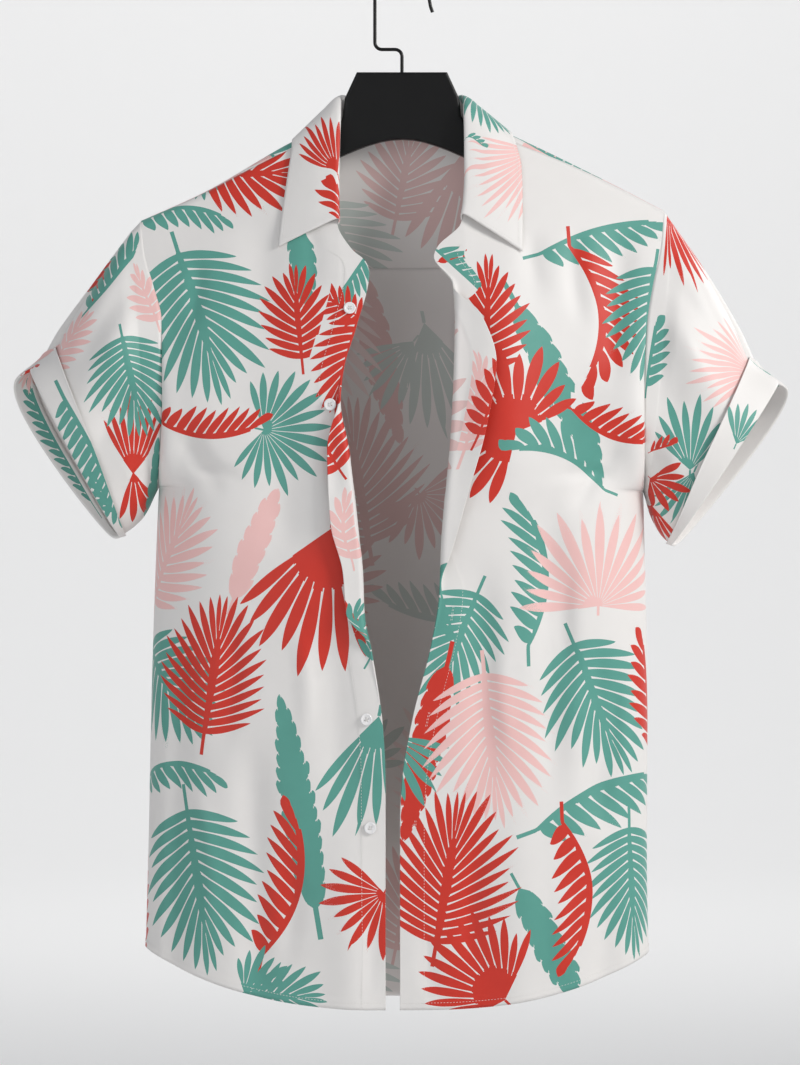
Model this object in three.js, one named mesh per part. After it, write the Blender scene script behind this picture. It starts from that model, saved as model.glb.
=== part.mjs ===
// Short-sleeved shirt, hanging open on a moulded hanger with a wire hook.
// Millimetres, +Z up. The origin is the inside top of the hook, where a rod carries it.
// +X is to the right of somebody who faces the shirt, and the fronts face -Y.
// Every cloth piece is a thin wall built on a middle surface, a grid of points.
import * as THREE from 'three';

// Driving dimensions of the cloth
const CLOTH = 1.2;
const SEAM_GAP = 0.3;
const FACING_THICKNESS = 1.0;
const FACING_WIDTH = 22;
const ARMHOLE_GAP = 0.7;
const COLLAR_GAP = 0.6;

// The shoulder's rounded top, where the cloth lies over the hanger
const CAP_RADIUS = 10;
const CAP_ANGLE = 1.279;
const WEDGE_SLOPE = 0.30;
const BLEND = 12;

// The body's cross-section below the shoulders
const SECTION_POWER = 2.6;
const ARMHOLE_FRONT_DEPTH = 45;
const ARMHOLE_BACK_DEPTH = 38;
const UNDERARM_ROUND = 75;
const HEM_CENTRE_Z = -899;
const HEM_RISE = 46;
const HEM_HALF_WIDTH = 215;
const HEM_POWER = 2.6;

// The yoke's seams and the neck
const BACK_SEAM_Z = -262;
const NECK_X = 57.2;
const NECK_BULGE = 10;
const NECK_BULGE_WIDTH = 50;

// The grids
const FRONT_COLUMNS = 11;
const CURL_COLUMNS = 5;
const FLAP_COLUMNS = 3;
const LOWER_ROWS = 14;
const BACK_COLUMNS = 20;
const BACK_UPPER_ROWS = 8;
const YOKE_ROWS = 10;

// Top line of each shoulder, from the neck to the tip: x away from the middle, z on the outer face
const SHOULDER = {
  right: [
    { x: 54, z: -136.0 },
    { x: 95, z: -155.6 },
    { x: 172, z: -199.8 },
    { x: 225, z: -223.6 },
  ],
  left: [
    { x: 54, z: -131.8 },
    { x: 98, z: -151.3 },
    { x: 185, z: -193.8 },
    { x: 226, z: -215.1 },
  ],
};

// How far the yoke comes forward over each shoulder, measured round the cloth
const YOKE_FORWARD = [
  { x: 54, reach: 14 },
  { x: 95, reach: 12 },
  { x: 172, reach: 4 },
  { x: 226, reach: 3 },
];

// Armhole seam, then side seam, from the shoulder's tip to the hem
const SIDE = {
  right: [
    { z: -223, x: 225 },
    { z: -252, x: 222 },
    { z: -287, x: 212.5 },
    { z: -316, x: 205.5 },
    { z: -380, x: 204.5 },
    { z: -466, x: 210 },
    { z: -636, x: 215.9 },
    { z: -763, x: 218.5 },
    { z: -855, x: 221 },
  ],
  left: [
    { z: -214, x: 226 },
    { z: -246, x: 223 },
    { z: -285, x: 215 },
    { z: -321, x: 209 },
    { z: -366, x: 206.6 },
    { z: -457, x: 208 },
    { z: -636, x: 211.7 },
    { z: -774, x: 211.2 },
    { z: -853, x: 212.5 },
  ],
};
const UNDERARM_Z = { right: -453, left: -457 };

// Depth of the body in front of the hanger's plane and behind it
const BODY_DEPTH = [
  { z: -150, front: 50, back: 44 },
  { z: -262, front: 61, back: 50 },
  { z: -400, front: 69, back: 56 },
  { z: -560, front: 71, back: 57 },
  { z: -720, front: 68, back: 54 },
  { z: -900, front: 64, back: 50 },
];

// Inner edge of each front from the shoulder seam to the hem: where its outline is,
// and how much cloth beyond that outline is rolled outward
const FRONT_EDGE = {
  right: [
    { z: -140, x: 57, rolled: 0.8 },
    { z: -200, x: 56.5, rolled: 0.8 },
    { z: -230, x: 55.3, rolled: 0.8 },
    { z: -252, x: 43.2, rolled: 0.8 },
    { z: -264, x: 30.5, rolled: 0.8 },
    { z: -273, x: 28, rolled: 0.8 },
    { z: -320, x: 39, rolled: 0.8 },
    { z: -353, x: 49, rolled: 1 },
    { z: -381, x: 52.7, rolled: 8 },
    { z: -425, x: 45, rolled: 26 },
    { z: -487, x: 37.4, rolled: 29.6 },
    { z: -528, x: 33.6, rolled: 23.5 },
    { z: -562, x: 32.2, rolled: 23 },
    { z: -593, x: 26.4, rolled: 6 },
    { z: -661, x: 16, rolled: 0.8 },
    { z: -704, x: 14, rolled: 0.8 },
    { z: -900, x: 14, rolled: 0.8 },
  ],
  left: [
    { z: -140, x: 57, rolled: 0.8 },
    { z: -200, x: 56, rolled: 0.8 },
    { z: -230, x: 50.2, rolled: 0.8 },
    { z: -250, x: 30, rolled: 0.8 },
    { z: -258, x: 27, rolled: 0.8 },
    { z: -283, x: 43.8, rolled: 6 },
    { z: -309, x: 45, rolled: 30 },
    { z: -351, x: 44.2, rolled: 43.5 },
    { z: -406, x: 41.7, rolled: 38.4 },
    { z: -460, x: 37, rolled: 28.6 },
    { z: -511, x: 33.2, rolled: 16.7 },
    { z: -542, x: 32.3, rolled: 5 },
    { z: -585, x: 25.5, rolled: 1.5 },
    { z: -653, x: 8.5, rolled: 0.8 },
    { z: -704, x: 0, rolled: 0.8 },
    { z: -738, x: -1.7, rolled: 0.8 },
    { z: -900, x: -1.7, rolled: 0.8 },
  ],
};
const ROLL_RADIUS = { right: 3.5, left: 4 };
const NECK_CORNER_Z = { right: -264, left: -258 };

// Rows of the fronts just below the shoulder seam, then their heights along the inner edge
const SEAM_ROWS = [4, 11];
const FRONT_ZONES = [
  { to: -228, rows: 4 },
  { to: -300, rows: 7 },
  { to: -455, rows: 6 },
];

// Soft vertical folds: x at the upper end, lean towards +x per mm down, half width,
// depth out of the garment (a trough is negative)
const FOLDS = {
  right: [
    { x: 165, lean: 0.00, top: -230, bottom: -560, width: 26, depth: 4 },
    { x: 117, lean: 0.02, top: -215, bottom: -340, width: 20, depth: -4 },
    { x: 100, lean: 0.00, top: -360, bottom: -530, width: 22, depth: -6 },
    { x: 190, lean: 0.02, top: -540, bottom: -960, width: 12, depth: -5 },
    { x: 128, lean: -0.02, top: -640, bottom: -930, width: 15, depth: -6 },
    { x: 60, lean: -0.04, top: -560, bottom: -730, width: 16, depth: -4 },
    { x: 44, lean: 0.00, top: -730, bottom: -980, width: 20, depth: 5 },
  ],
  left: [
    { x: 85, lean: 0.02, top: -220, bottom: -490, width: 24, depth: 5 },
    { x: 186, lean: -0.02, top: -220, bottom: -380, width: 16, depth: -5 },
    { x: 66, lean: 0.02, top: -500, bottom: -730, width: 16, depth: -6 },
    { x: 126, lean: 0.01, top: -450, bottom: -740, width: 15, depth: -7 },
    { x: 168, lean: 0.00, top: -580, bottom: -760, width: 13, depth: -6 },
    { x: 100, lean: 0.00, top: -700, bottom: -960, width: 24, depth: 5 },
    { x: 170, lean: 0.03, top: -770, bottom: -960, width: 14, depth: -5 },
  ],
  back: [
    { x: -150, lean: 0.04, top: -300, bottom: -620, width: 18, depth: -6 },
    { x: -92, lean: -0.03, top: -420, bottom: -960, width: 20, depth: 6 },
    { x: -30, lean: 0.02, top: -280, bottom: -560, width: 22, depth: -4 },
    { x: 22, lean: 0.03, top: -520, bottom: -970, width: 20, depth: -7 },
    { x: 84, lean: -0.02, top: -300, bottom: -700, width: 20, depth: 5 },
    { x: 140, lean: -0.04, top: -380, bottom: -960, width: 17, depth: -6 },
    { x: -170, lean: 0.01, top: -640, bottom: -970, width: 15, depth: -5 },
  ],
};

// Sleeves: the ring's highest and lowest point seen from the front, its depth each way,
// and how much of the armhole's own shape it keeps
const SLEEVE = {
  right: [
    { along: 0.16, topX: 233, topZ: -233, lowX: 214, lowZ: -462, front: 46, back: 41, keep: 0.75 },
    { along: 0.38, topX: 246, topZ: -252, lowX: 219, lowZ: -473, front: 49, back: 44, keep: 0.35 },
    { along: 0.60, topX: 262, topZ: -277, lowX: 224, lowZ: -481, front: 49, back: 45, keep: 0.10 },
    { along: 0.82, topX: 285, topZ: -312, lowX: 230, lowZ: -487, front: 46, back: 44, keep: 0 },
    { along: 1.00, topX: 299, topZ: -337, lowX: 235, lowZ: -491, front: 44, back: 43, keep: 0 },
    { along: 1.20, topX: 319, topZ: -353, lowX: 243, lowZ: -496, front: 43, back: 42, keep: 0 },
  ],
  left: [
    { along: 0.16, topX: 233, topZ: -226, lowX: 211, lowZ: -466, front: 46, back: 41, keep: 0.75 },
    { along: 0.38, topX: 247, topZ: -247, lowX: 214, lowZ: -477, front: 49, back: 44, keep: 0.35 },
    { along: 0.60, topX: 264, topZ: -275, lowX: 218, lowZ: -486, front: 50, back: 45, keep: 0.10 },
    { along: 0.82, topX: 286, topZ: -316, lowX: 222, lowZ: -493, front: 47, back: 44, keep: 0 },
    { along: 1.00, topX: 300, topZ: -346, lowX: 226, lowZ: -498, front: 45, back: 43, keep: 0 },
    { along: 1.20, topX: 323, topZ: -364, lowX: 232, lowZ: -503, front: 44, back: 42, keep: 0 },
  ],
};
const CUFF_ROWS = [
  { along: 1.0, swell: 4.2 },
  { along: 1.1, swell: 3.0 },
  { along: 1.2, swell: 2.0 },
];
const SLEEVE_CENTRE_Y = -4;
const SLEEVE_BACK_REACH = 9;

// Folds of a sleeve: angle round it, drift of the angle along it, half width, depth outward
const SLEEVE_FOLDS = [
  { angle: 1.15, drift: 0.55, width: 0.28, depth: -7 },
  { angle: 1.85, drift: 0.35, width: 0.24, depth: 5 },
  { angle: 2.45, drift: -0.30, width: 0.22, depth: -5 },
  { angle: 4.05, drift: 0.40, width: 0.30, depth: -6 },
  { angle: 5.00, drift: -0.35, width: 0.26, depth: -5 },
];

// Collar, from its front end round to the middle of the back: the neck seam's height on the
// shirt, the roll line and the leaf's outer edge
const COLLAR = {
  right: [
    { neckX: 55.3, neckZ: -230, rollX: 55.0, rollY: -34, rollZ: -226, edgeX: 106.3, edgeZ: -249 },
    { neckX: 56.1, neckZ: -214, rollX: 55.6, rollY: -31, rollZ: -209, edgeX: 104.4, edgeZ: -231 },
    { neckX: 56.6, neckZ: -192, rollX: 55.6, rollY: -27, rollZ: -184, edgeX: 100.6, edgeZ: -203 },
    { neckX: 56.8, neckZ: -168, rollX: 55.2, rollY: -21, rollZ: -155, edgeX: 97.0, edgeZ: -178 },
    { neckX: 56.9, neckZ: -151, rollX: 54.6, rollY: -12, rollZ: -133, edgeX: 95.0, edgeZ: -164 },
  ],
  left: [
    { neckX: 51.4, neckZ: -226.5, rollX: 52.0, rollY: -34, rollZ: -222, edgeX: 102.9, edgeZ: -253 },
    { neckX: 54.2, neckZ: -214, rollX: 54.0, rollY: -31, rollZ: -209, edgeX: 103.4, edgeZ: -233 },
    { neckX: 56.1, neckZ: -192, rollX: 55.4, rollY: -27, rollZ: -184, edgeX: 103.4, edgeZ: -203 },
    { neckX: 56.8, neckZ: -168, rollX: 55.4, rollY: -21, rollZ: -153, edgeX: 102.6, edgeZ: -178 },
    { neckX: 56.9, neckZ: -149, rollX: 55.0, rollY: -12, rollZ: -130, edgeX: 99.0, edgeZ: -162 },
  ],
};

// The neckline on the yoke and the collar above it: reach is measured round the cloth from
// the shoulder's top line, forward positive
const NECK_ON_YOKE = [
  { x: 57.0, reach: 6, rollX: 54.6, rollY: -5, rollZ: -122, edgeX: 94.5, edgeReach: 5 },
  { x: 57.0, reach: 0, rollX: 54.0, rollY: 2, rollZ: -118, edgeX: 94.0, edgeReach: -3 },
  { x: 54.0, reach: -7, rollX: 51.5, rollY: 11, rollZ: -116, edgeX: 87.0, edgeReach: -13 },
  { x: 43.0, reach: -13, rollX: 41.0, rollY: 20, rollZ: -117, edgeX: 67.0, edgeReach: -23 },
  { x: 22.0, reach: -18, rollX: 20.0, rollY: 27, rollZ: -119, edgeX: 34.0, edgeReach: -33 },
];
const NECK_CENTRE = { x: 0, reach: -19, rollX: 0, rollY: 29, rollZ: -120, edgeX: 0, edgeReach: -37 };
const LEAF_CLEARANCE = 3.0;
const COLLAR_ROLL_RADIUS = 1.8;

// Buttons on the right front
const BUTTONS = [
  { z: -298, fromEdge: 13, lift: 0.1 },
  { z: -383, fromEdge: 14, lift: 0.3 },
  { z: -472, fromEdge: 11.5, lift: 0.1 },
  { z: -562, fromEdge: 5.2, lift: 0.1 },
  { z: -652, fromEdge: 13, lift: 0.1 },
  { z: -744, fromEdge: 13, lift: 0.1 },
];
const BUTTON_DIAMETER = 10.5;
const BUTTON_THICKNESS = 2.4;

// Hanger and hook
const HANGER_THICKNESS = 12;
const HANGER_BEVEL = 3.5;
const HANGER_TOP_Z = -96;
const HANGER_UNDER_CLOTH = 1.2;
const WIRE_DIAMETER = 3;
const HOOK_RADIUS = 23.4;

// Reads a table as a smooth curve that never overshoots its rows
function read(table, key, at, value) {
  const rows = table[0][key] < table[table.length - 1][key] ? table : table.slice().reverse();
  if (at <= rows[0][key]) {
    return rows[0][value];
  }
  const last = rows.length - 1;
  if (at >= rows[last][key]) {
    return rows[last][value];
  }
  let i = 0;
  while (at > rows[i + 1][key]) {
    i += 1;
  }
  const slope = (k) => (rows[k + 1][value] - rows[k][value]) / (rows[k + 1][key] - rows[k][key]);
  const tangent = (k) => {
    if (k === 0 || k === last) {
      return slope(Math.min(k, last - 1));
    }
    const before = slope(k - 1);
    const after = slope(k);
    return before * after <= 0 ? 0 : (2 * before * after) / (before + after);
  };
  const span = rows[i + 1][key] - rows[i][key];
  const t = (at - rows[i][key]) / span;
  const rise = rows[i + 1][value] - rows[i][value];
  const a = tangent(i) * span - rise;
  const b = rise - tangent(i + 1) * span;
  return rows[i][value] + t * rise + t * (1 - t) * (a * (1 - t) + b * t);
}

const mix = (a, b, t) => a + (b - a) * t;
const clamp = (v, low, high) => Math.max(low, Math.min(high, v));
const smooth = (t) => {
  const c = clamp(t, 0, 1);
  return c * c * (3 - 2 * c);
};

function smoothMin(a, b) {
  const h = clamp(0.5 + (0.5 * (b - a)) / BLEND, 0, 1);
  return mix(b, a, h) - BLEND * h * (1 - h);
}

// Height of the cloth's middle surface on the shoulder's top line
function ridgeZ(side, x) {
  const rows = SHOULDER[side];
  const tip = rows[rows.length - 1];
  const inner = rows[rows.length - 2];
  const beyond = Math.max(x - tip.x, 0) * ((tip.z - inner.z) / (tip.x - inner.x));
  return read(rows, 'x', x, 'z') + beyond - CLOTH / 2;
}

// Half thickness of the shoulder at a drop below its top line
function wedge(drop) {
  const arcDrop = CAP_RADIUS * (1 - Math.cos(CAP_ANGLE));
  if (drop < arcDrop) {
    const d = Math.max(drop, 0);
    return Math.sqrt(2 * CAP_RADIUS * d - d * d);
  }
  return CAP_RADIUS * Math.sin(CAP_ANGLE) + WEDGE_SLOPE * (drop - arcDrop);
}

// Drop below the top line after a distance round the cloth
function dropAfter(distance) {
  const arc = CAP_RADIUS * CAP_ANGLE;
  if (distance < arc) {
    return CAP_RADIUS * (1 - Math.cos(distance / CAP_RADIUS));
  }
  return CAP_RADIUS * (1 - Math.cos(CAP_ANGLE)) + (distance - arc) * Math.sin(CAP_ANGLE);
}

function distanceAfter(drop) {
  const arcDrop = CAP_RADIUS * (1 - Math.cos(CAP_ANGLE));
  if (drop < arcDrop) {
    return CAP_RADIUS * Math.acos(1 - drop / CAP_RADIUS);
  }
  return CAP_RADIUS * CAP_ANGLE + (drop - arcDrop) / Math.sin(CAP_ANGLE);
}

const sideX = (side, z) => read(SIDE[side], 'z', z, 'x');
const hemZ = (x) => HEM_CENTRE_Z + HEM_RISE * (Math.abs(x) / HEM_HALF_WIDTH) ** HEM_POWER;

// How far a point of the lower body is lifted towards the hem's curve
const hemShift = (x, progress) => (hemZ(x) - HEM_CENTRE_Z) * progress * progress;

// Depth of the body at a point, before its folds
function plainDepth(side, x, z, face) {
  const edge = face === 'front' ? ARMHOLE_FRONT_DEPTH : ARMHOLE_BACK_DEPTH;
  const rise = clamp((z - UNDERARM_Z[side]) / UNDERARM_ROUND, 0, 1);
  const armhole = edge * Math.sqrt(1 - (1 - rise) ** 2);
  const half = sideX(side, z);
  const inward = clamp((half - x) / half, 0, 1);
  const section = (1 - (1 - inward) ** SECTION_POWER) ** (1 / SECTION_POWER);
  const full = armhole + (read(BODY_DEPTH, 'z', z, face) - armhole) * section;
  return smoothMin(wedge(ridgeZ(side, x) - z), full);
}

function foldDepth(rows, x, z) {
  let sum = 0;
  for (const fold of rows) {
    const centre = fold.x + fold.lean * (fold.top - z);
    const across = Math.exp(-(((x - centre) / fold.width) ** 2));
    const length = fold.top - fold.bottom;
    const along = (fold.top - z) / length;
    const fade = smooth(along / 0.3) * smooth((1 - along) / 0.3);
    sum += fold.depth * across * fade;
  }
  return sum;
}

// Depth in front of the hanger's plane; x is measured towards the panel's own side
function frontDepth(side, x, z) {
  const half = sideX(side, z);
  const calm = smooth((half - x) / 30);
  return plainDepth(side, x, z, 'front') + calm * foldDepth(FOLDS[side], x, z);
}

// Depth behind the hanger's plane; x is signed
function backDepth(x, z) {
  const side = x < 0 ? 'right' : 'left';
  const away = Math.abs(x);
  const calm = smooth((sideX(side, z) - away) / 30);
  const neck = NECK_BULGE * Math.exp(-((x / NECK_BULGE_WIDTH) ** 2)) * smooth((z + 420) / 200);
  const below = smooth((BACK_SEAM_Z - z) / 60);
  return plainDepth(side, away, z, 'back') + neck + calm * below * foldDepth(FOLDS.back, x, z);
}

const signOf = (side) => (side === 'right' ? -1 : 1);
const forwardReach = (x) => read(YOKE_FORWARD, 'x', x, 'reach');
const frontSeamZ = (side, x) => ridgeZ(side, x) - dropAfter(forwardReach(x));

// Closed wall on a grid of points. A ring grid closes on itself across, and a lining is a
// second layer turned under, given as a thickness at each point with the sign of its face.
function wall(points, thickness, ring = false, lining = () => 0) {
  const rows = points.length;
  const columns = points[0].length;
  const at = (i, j) => points[i][ring ? (j + columns) % columns : clamp(j, 0, columns - 1)];
  const vertices = [];
  for (const sideOfWall of [1, -1]) {
    for (let i = 0; i < rows; i += 1) {
      for (let j = 0; j < columns; j += 1) {
        const across = new THREE.Vector3().subVectors(at(i, j + 1), at(i, j - 1));
        const down = new THREE.Vector3().subVectors(
          points[Math.min(i + 1, rows - 1)][j],
          points[Math.max(i - 1, 0)][j],
        );
        const normal = across.cross(down).normalize();
        const extra = Math.max(sideOfWall * lining(i, j), 0);
        const offset = sideOfWall * (thickness / 2 + extra);
        vertices.push(normal.multiplyScalar(offset).add(points[i][j]));
      }
    }
  }
  const other = rows * columns;
  const index = (i, j, inner) => i * columns + (j % columns) + (inner ? other : 0);
  const faces = [];
  const quad = (a, b, c, d) => {
    if (vertices[a].distanceTo(vertices[c]) < vertices[b].distanceTo(vertices[d])) {
      faces.push(a, b, c, a, c, d);
    } else {
      faces.push(a, b, d, b, c, d);
    }
  };
  const across = ring ? columns : columns - 1;
  for (let i = 0; i < rows - 1; i += 1) {
    for (let j = 0; j < across; j += 1) {
      quad(index(i, j), index(i + 1, j), index(i + 1, j + 1), index(i, j + 1));
      quad(index(i, j, true), index(i, j + 1, true), index(i + 1, j + 1, true), index(i + 1, j, true));
    }
  }
  for (let j = 0; j < across; j += 1) {
    quad(index(0, j), index(0, j + 1), index(0, j + 1, true), index(0, j, true));
    const end = rows - 1;
    quad(index(end, j + 1), index(end, j), index(end, j, true), index(end, j + 1, true));
  }
  for (let i = 0; i < rows - 1 && !ring; i += 1) {
    const end = columns - 1;
    quad(index(i + 1, 0), index(i, 0), index(i, 0, true), index(i + 1, 0, true));
    quad(index(i, end), index(i + 1, end), index(i + 1, end, true), index(i, end, true));
  }
  return closedGeometry(vertices, faces);
}

// Makes a geometry from shared corners, with its faces turned outward
function closedGeometry(vertices, faces) {
  let volume = 0;
  for (let k = 0; k < faces.length; k += 3) {
    const a = vertices[faces[k]];
    const cross = new THREE.Vector3().crossVectors(vertices[faces[k + 1]], vertices[faces[k + 2]]);
    volume += a.dot(cross);
  }
  if (volume < 0) {
    faces.reverse();
  }
  const geometry = new THREE.BufferGeometry();
  geometry.setAttribute('position', new THREE.Float32BufferAttribute(vertices.flatMap((v) => [v.x, v.y, v.z]), 3));
  geometry.setIndex(faces);
  geometry.computeVertexNormals();
  return geometry;
}

const cloth = (colour) => new THREE.MeshStandardMaterial({ color: colour, roughness: 0.62, metalness: 0 });
const shirtGroup = new THREE.Group();

function addPiece(name, geometry, material) {
  const mesh = new THREE.Mesh(geometry, material);
  mesh.name = name;
  shirtGroup.add(mesh);
}

// Heights of a front's rows along its inner edge and along the armhole and side seam
function frontRows(side) {
  const top = frontSeamZ(side, 57) - SEAM_GAP / 2;
  const inner = [top, ...SEAM_ROWS.map((drop) => top - drop)];
  for (const zone of FRONT_ZONES) {
    const start = inner[inner.length - 1];
    for (let k = 1; k <= zone.rows; k += 1) {
      inner.push(mix(start, zone.to, k / zone.rows));
    }
  }
  const upper = inner.length - 1;
  const tipX = SHOULDER[side][SHOULDER[side].length - 1].x;
  const seam = frontSeamZ(side, tipX) - SEAM_GAP / 2;
  const edge = inner.map((z, i) => mix(seam, UNDERARM_Z[side], (1 - Math.cos((Math.PI * i) / upper)) / 2));
  return { inner, edge, upper };
}

// Columns of a front from its side to its inner edge, as shares of the way, with two close
// together where the turned-under edge ends
function columnShares(width) {
  const facing = 1 - FACING_WIDTH / width;
  const last = FRONT_COLUMNS - 2;
  const shares = Array.from({ length: last + 1 }, (_, j) => 1 - Math.cos((Math.PI * j) / (2 * last)));
  return [...shares.map((share) => share * (facing - 1 / width)), facing, 1];
}

// Points of a front: columns from the side to the inner edge, then round the outward roll
function frontGrid(side) {
  const rows = frontRows(side);
  const sign = signOf(side);
  const radius = ROLL_RADIUS[side];
  const grid = [];
  for (let i = 0; i <= rows.upper + LOWER_ROWS; i += 1) {
    const progress = Math.max(i - rows.upper, 0) / LOWER_ROWS;
    const level = i > rows.upper;
    const innerZ = level ? mix(rows.inner[rows.upper], HEM_CENTRE_Z, progress) : rows.inner[i];
    const edgeZ = level ? mix(UNDERARM_Z[side], HEM_CENTRE_Z, progress) : rows.edge[i];
    const rolled = read(FRONT_EDGE[side], 'z', innerZ, 'rolled');
    const outline = read(FRONT_EDGE[side], 'z', innerZ, 'x');
    const turnX = outline + radius * Math.sin(Math.min(rolled / radius, Math.PI / 2));
    const edgeX = sideX(side, edgeZ + hemShift(sideX(side, edgeZ), progress));
    const seamLean = 1 - Math.min(i / rows.upper, 1);
    const line = [];
    for (const share of columnShares(edgeX - turnX)) {
      const x = mix(edgeX, turnX, share);
      const onSeam = frontSeamZ(side, x) - SEAM_GAP / 2;
      const lift = (onSeam - mix(rows.edge[0], rows.inner[0], share)) * seamLean;
      const z = mix(edgeZ, innerZ, share) + lift + hemShift(x, progress);
      let depth = frontDepth(side, x, z);
      if (share === 0) {
        depth = Math.max(frontDepth(side, sideX(side, z), z), SEAM_GAP / 2 + 0.02);
      }
      line.push(new THREE.Vector3(sign * x, -depth, z));
    }
    const start = line[FRONT_COLUMNS];
    const curl = Math.PI * radius;
    const bend = curl * (1 - Math.exp(-rolled / curl));
    for (let k = 1; k <= CURL_COLUMNS + FLAP_COLUMNS; k += 1) {
      const past = k <= CURL_COLUMNS
        ? (bend * k) / CURL_COLUMNS
        : mix(bend, rolled, (k - CURL_COLUMNS) / FLAP_COLUMNS);
      const angle = Math.min(past / radius, Math.PI);
      const back = Math.max(past - curl, 0);
      const x = turnX - radius * Math.sin(angle) + back;
      const base = back > 0 ? frontDepth(side, x, start.z) : -start.y;
      const eased = mix(-start.y, base, smooth(back / 8));
      line.push(new THREE.Vector3(sign * x, -eased - radius * (1 - Math.cos(angle)), start.z));
    }
    grid.push(line);
  }
  return grid;
}

// A seat on the right front: the point so far from the free edge at a height, and the
// direction away from the cloth's right side there
function seatOnFront(grid, i, { z, fromEdge }) {
  const above = grid[i][FRONT_COLUMNS].z < z ? i - 1 : i;
  const share = (grid[above][FRONT_COLUMNS].z - z) / (grid[above][FRONT_COLUMNS].z - grid[above + 1][FRONT_COLUMNS].z);
  const line = grid[above].map((point, j) => point.clone().lerp(grid[above + 1][j], share));
  let left = fromEdge;
  let j = line.length - 1;
  while (line[j].distanceTo(line[j - 1]) < left) {
    left -= line[j].distanceTo(line[j - 1]);
    j -= 1;
  }
  const point = line[j].clone().lerp(line[j - 1], left / line[j].distanceTo(line[j - 1]));
  const down = new THREE.Vector3().subVectors(grid[above + 1][j], grid[above][j]);
  const out = new THREE.Vector3().subVectors(line[j - 1], line[j]).cross(down).normalize();
  return { point, out };
}

// The front edge is turned under below the neck corner: a second layer behind the front
function turnedUnder(side, grid) {
  return (i, j) => {
    const line = grid[i];
    let distance = 0;
    for (let k = line.length - 1; k > j; k -= 1) {
      distance += line[k].distanceTo(line[k - 1]);
    }
    const below = line[line.length - 1].z < NECK_CORNER_Z[side] + 1;
    return below && distance < FACING_WIDTH + 1 ? -signOf(side) * FACING_THICKNESS : 0;
  };
}

const fronts = { right: frontGrid('right'), left: frontGrid('left') };
for (const side of ['right', 'left']) {
  const lining = turnedUnder(side, fronts[side]);
  addPiece(`front_${side}`, wall(fronts[side], CLOTH, false, lining), cloth(0xf1eeec));
}

// Back: one wide panel from the yoke's seam to the hem
function backGrid() {
  const grid = [];
  const rows = BACK_UPPER_ROWS + LOWER_ROWS;
  for (let i = 0; i <= rows; i += 1) {
    const line = [];
    const upper = i <= BACK_UPPER_ROWS;
    const turn = upper ? i / BACK_UPPER_ROWS : (i - BACK_UPPER_ROWS) / LOWER_ROWS;
    for (let j = 0; j <= BACK_COLUMNS; j += 1) {
      const across = Math.sin((Math.PI / 2) * ((2 * j) / BACK_COLUMNS - 1));
      const side = across < 0 ? 'right' : 'left';
      const seam = BACK_SEAM_Z - SEAM_GAP / 2;
      const roundedTurn = Math.sin((Math.PI / 2) * turn);
      const level = mix(turn, roundedTurn, Math.abs(across));
      const start = upper ? seam : UNDERARM_Z[side];
      const end = upper ? UNDERARM_Z[side] : HEM_CENTRE_Z;
      let z = mix(start, end, upper ? level : turn);
      if (!upper) {
        z += hemShift(across * sideX(side, z), turn);
      }
      const x = across * sideX(side, z);
      line.push(new THREE.Vector3(x, Math.max(backDepth(x, z), SEAM_GAP / 2 + 0.02), z));
    }
    grid.push(line);
  }
  return grid;
}

const back = backGrid();
addPiece('back', wall(back, CLOTH), cloth(0xeceae8));

// A point of the yoke: reach is measured round the cloth from the top line, forward positive
function yokePoint(x, reach) {
  const side = x < 0 ? 'right' : 'left';
  const z = ridgeZ(side, Math.abs(x)) - dropAfter(Math.abs(reach));
  if (reach >= 0) {
    return new THREE.Vector3(x, -wedge(dropAfter(reach)), z);
  }
  const ease = smooth(-reach / 12);
  const depth = mix(wedge(dropAfter(-reach)), backDepth(x, z), ease);
  return new THREE.Vector3(x, depth, z);
}

// Outer end of the yoke's back seam, and its reach at a place along the seam
function backSeamReach(x) {
  const side = x < 0 ? 'right' : 'left';
  const drop = ridgeZ(side, Math.abs(x)) - (BACK_SEAM_Z + SEAM_GAP / 2);
  return -distanceAfter(drop);
}

function yokeColumns() {
  const half = { right: [], left: [] };
  for (const side of ['right', 'left']) {
    const sign = signOf(side);
    const rows = frontRows(side);
    const armX = sideX(side, rows.edge[0]);
    const lowX = sideX(side, BACK_SEAM_Z);
    for (const share of columnShares(armX - NECK_X)) {
      const x = mix(armX, NECK_X, share);
      const reach = forwardReach(x) - SEAM_GAP;
      half[side].push({ x: sign * x, reach, lowX: sign * mix(lowX, 62, share), edge: share === 0 });
    }
    NECK_ON_YOKE.forEach((row, k) => {
      const lowShare = (k + 1) / (NECK_ON_YOKE.length + 1);
      half[side].push({ x: sign * row.x, reach: row.reach, lowX: sign * mix(62, 0, lowShare) });
    });
  }
  const middle = { x: 0, reach: NECK_CENTRE.reach, lowX: 0 };
  return [...half.right, middle, ...half.left.reverse()];
}

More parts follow.
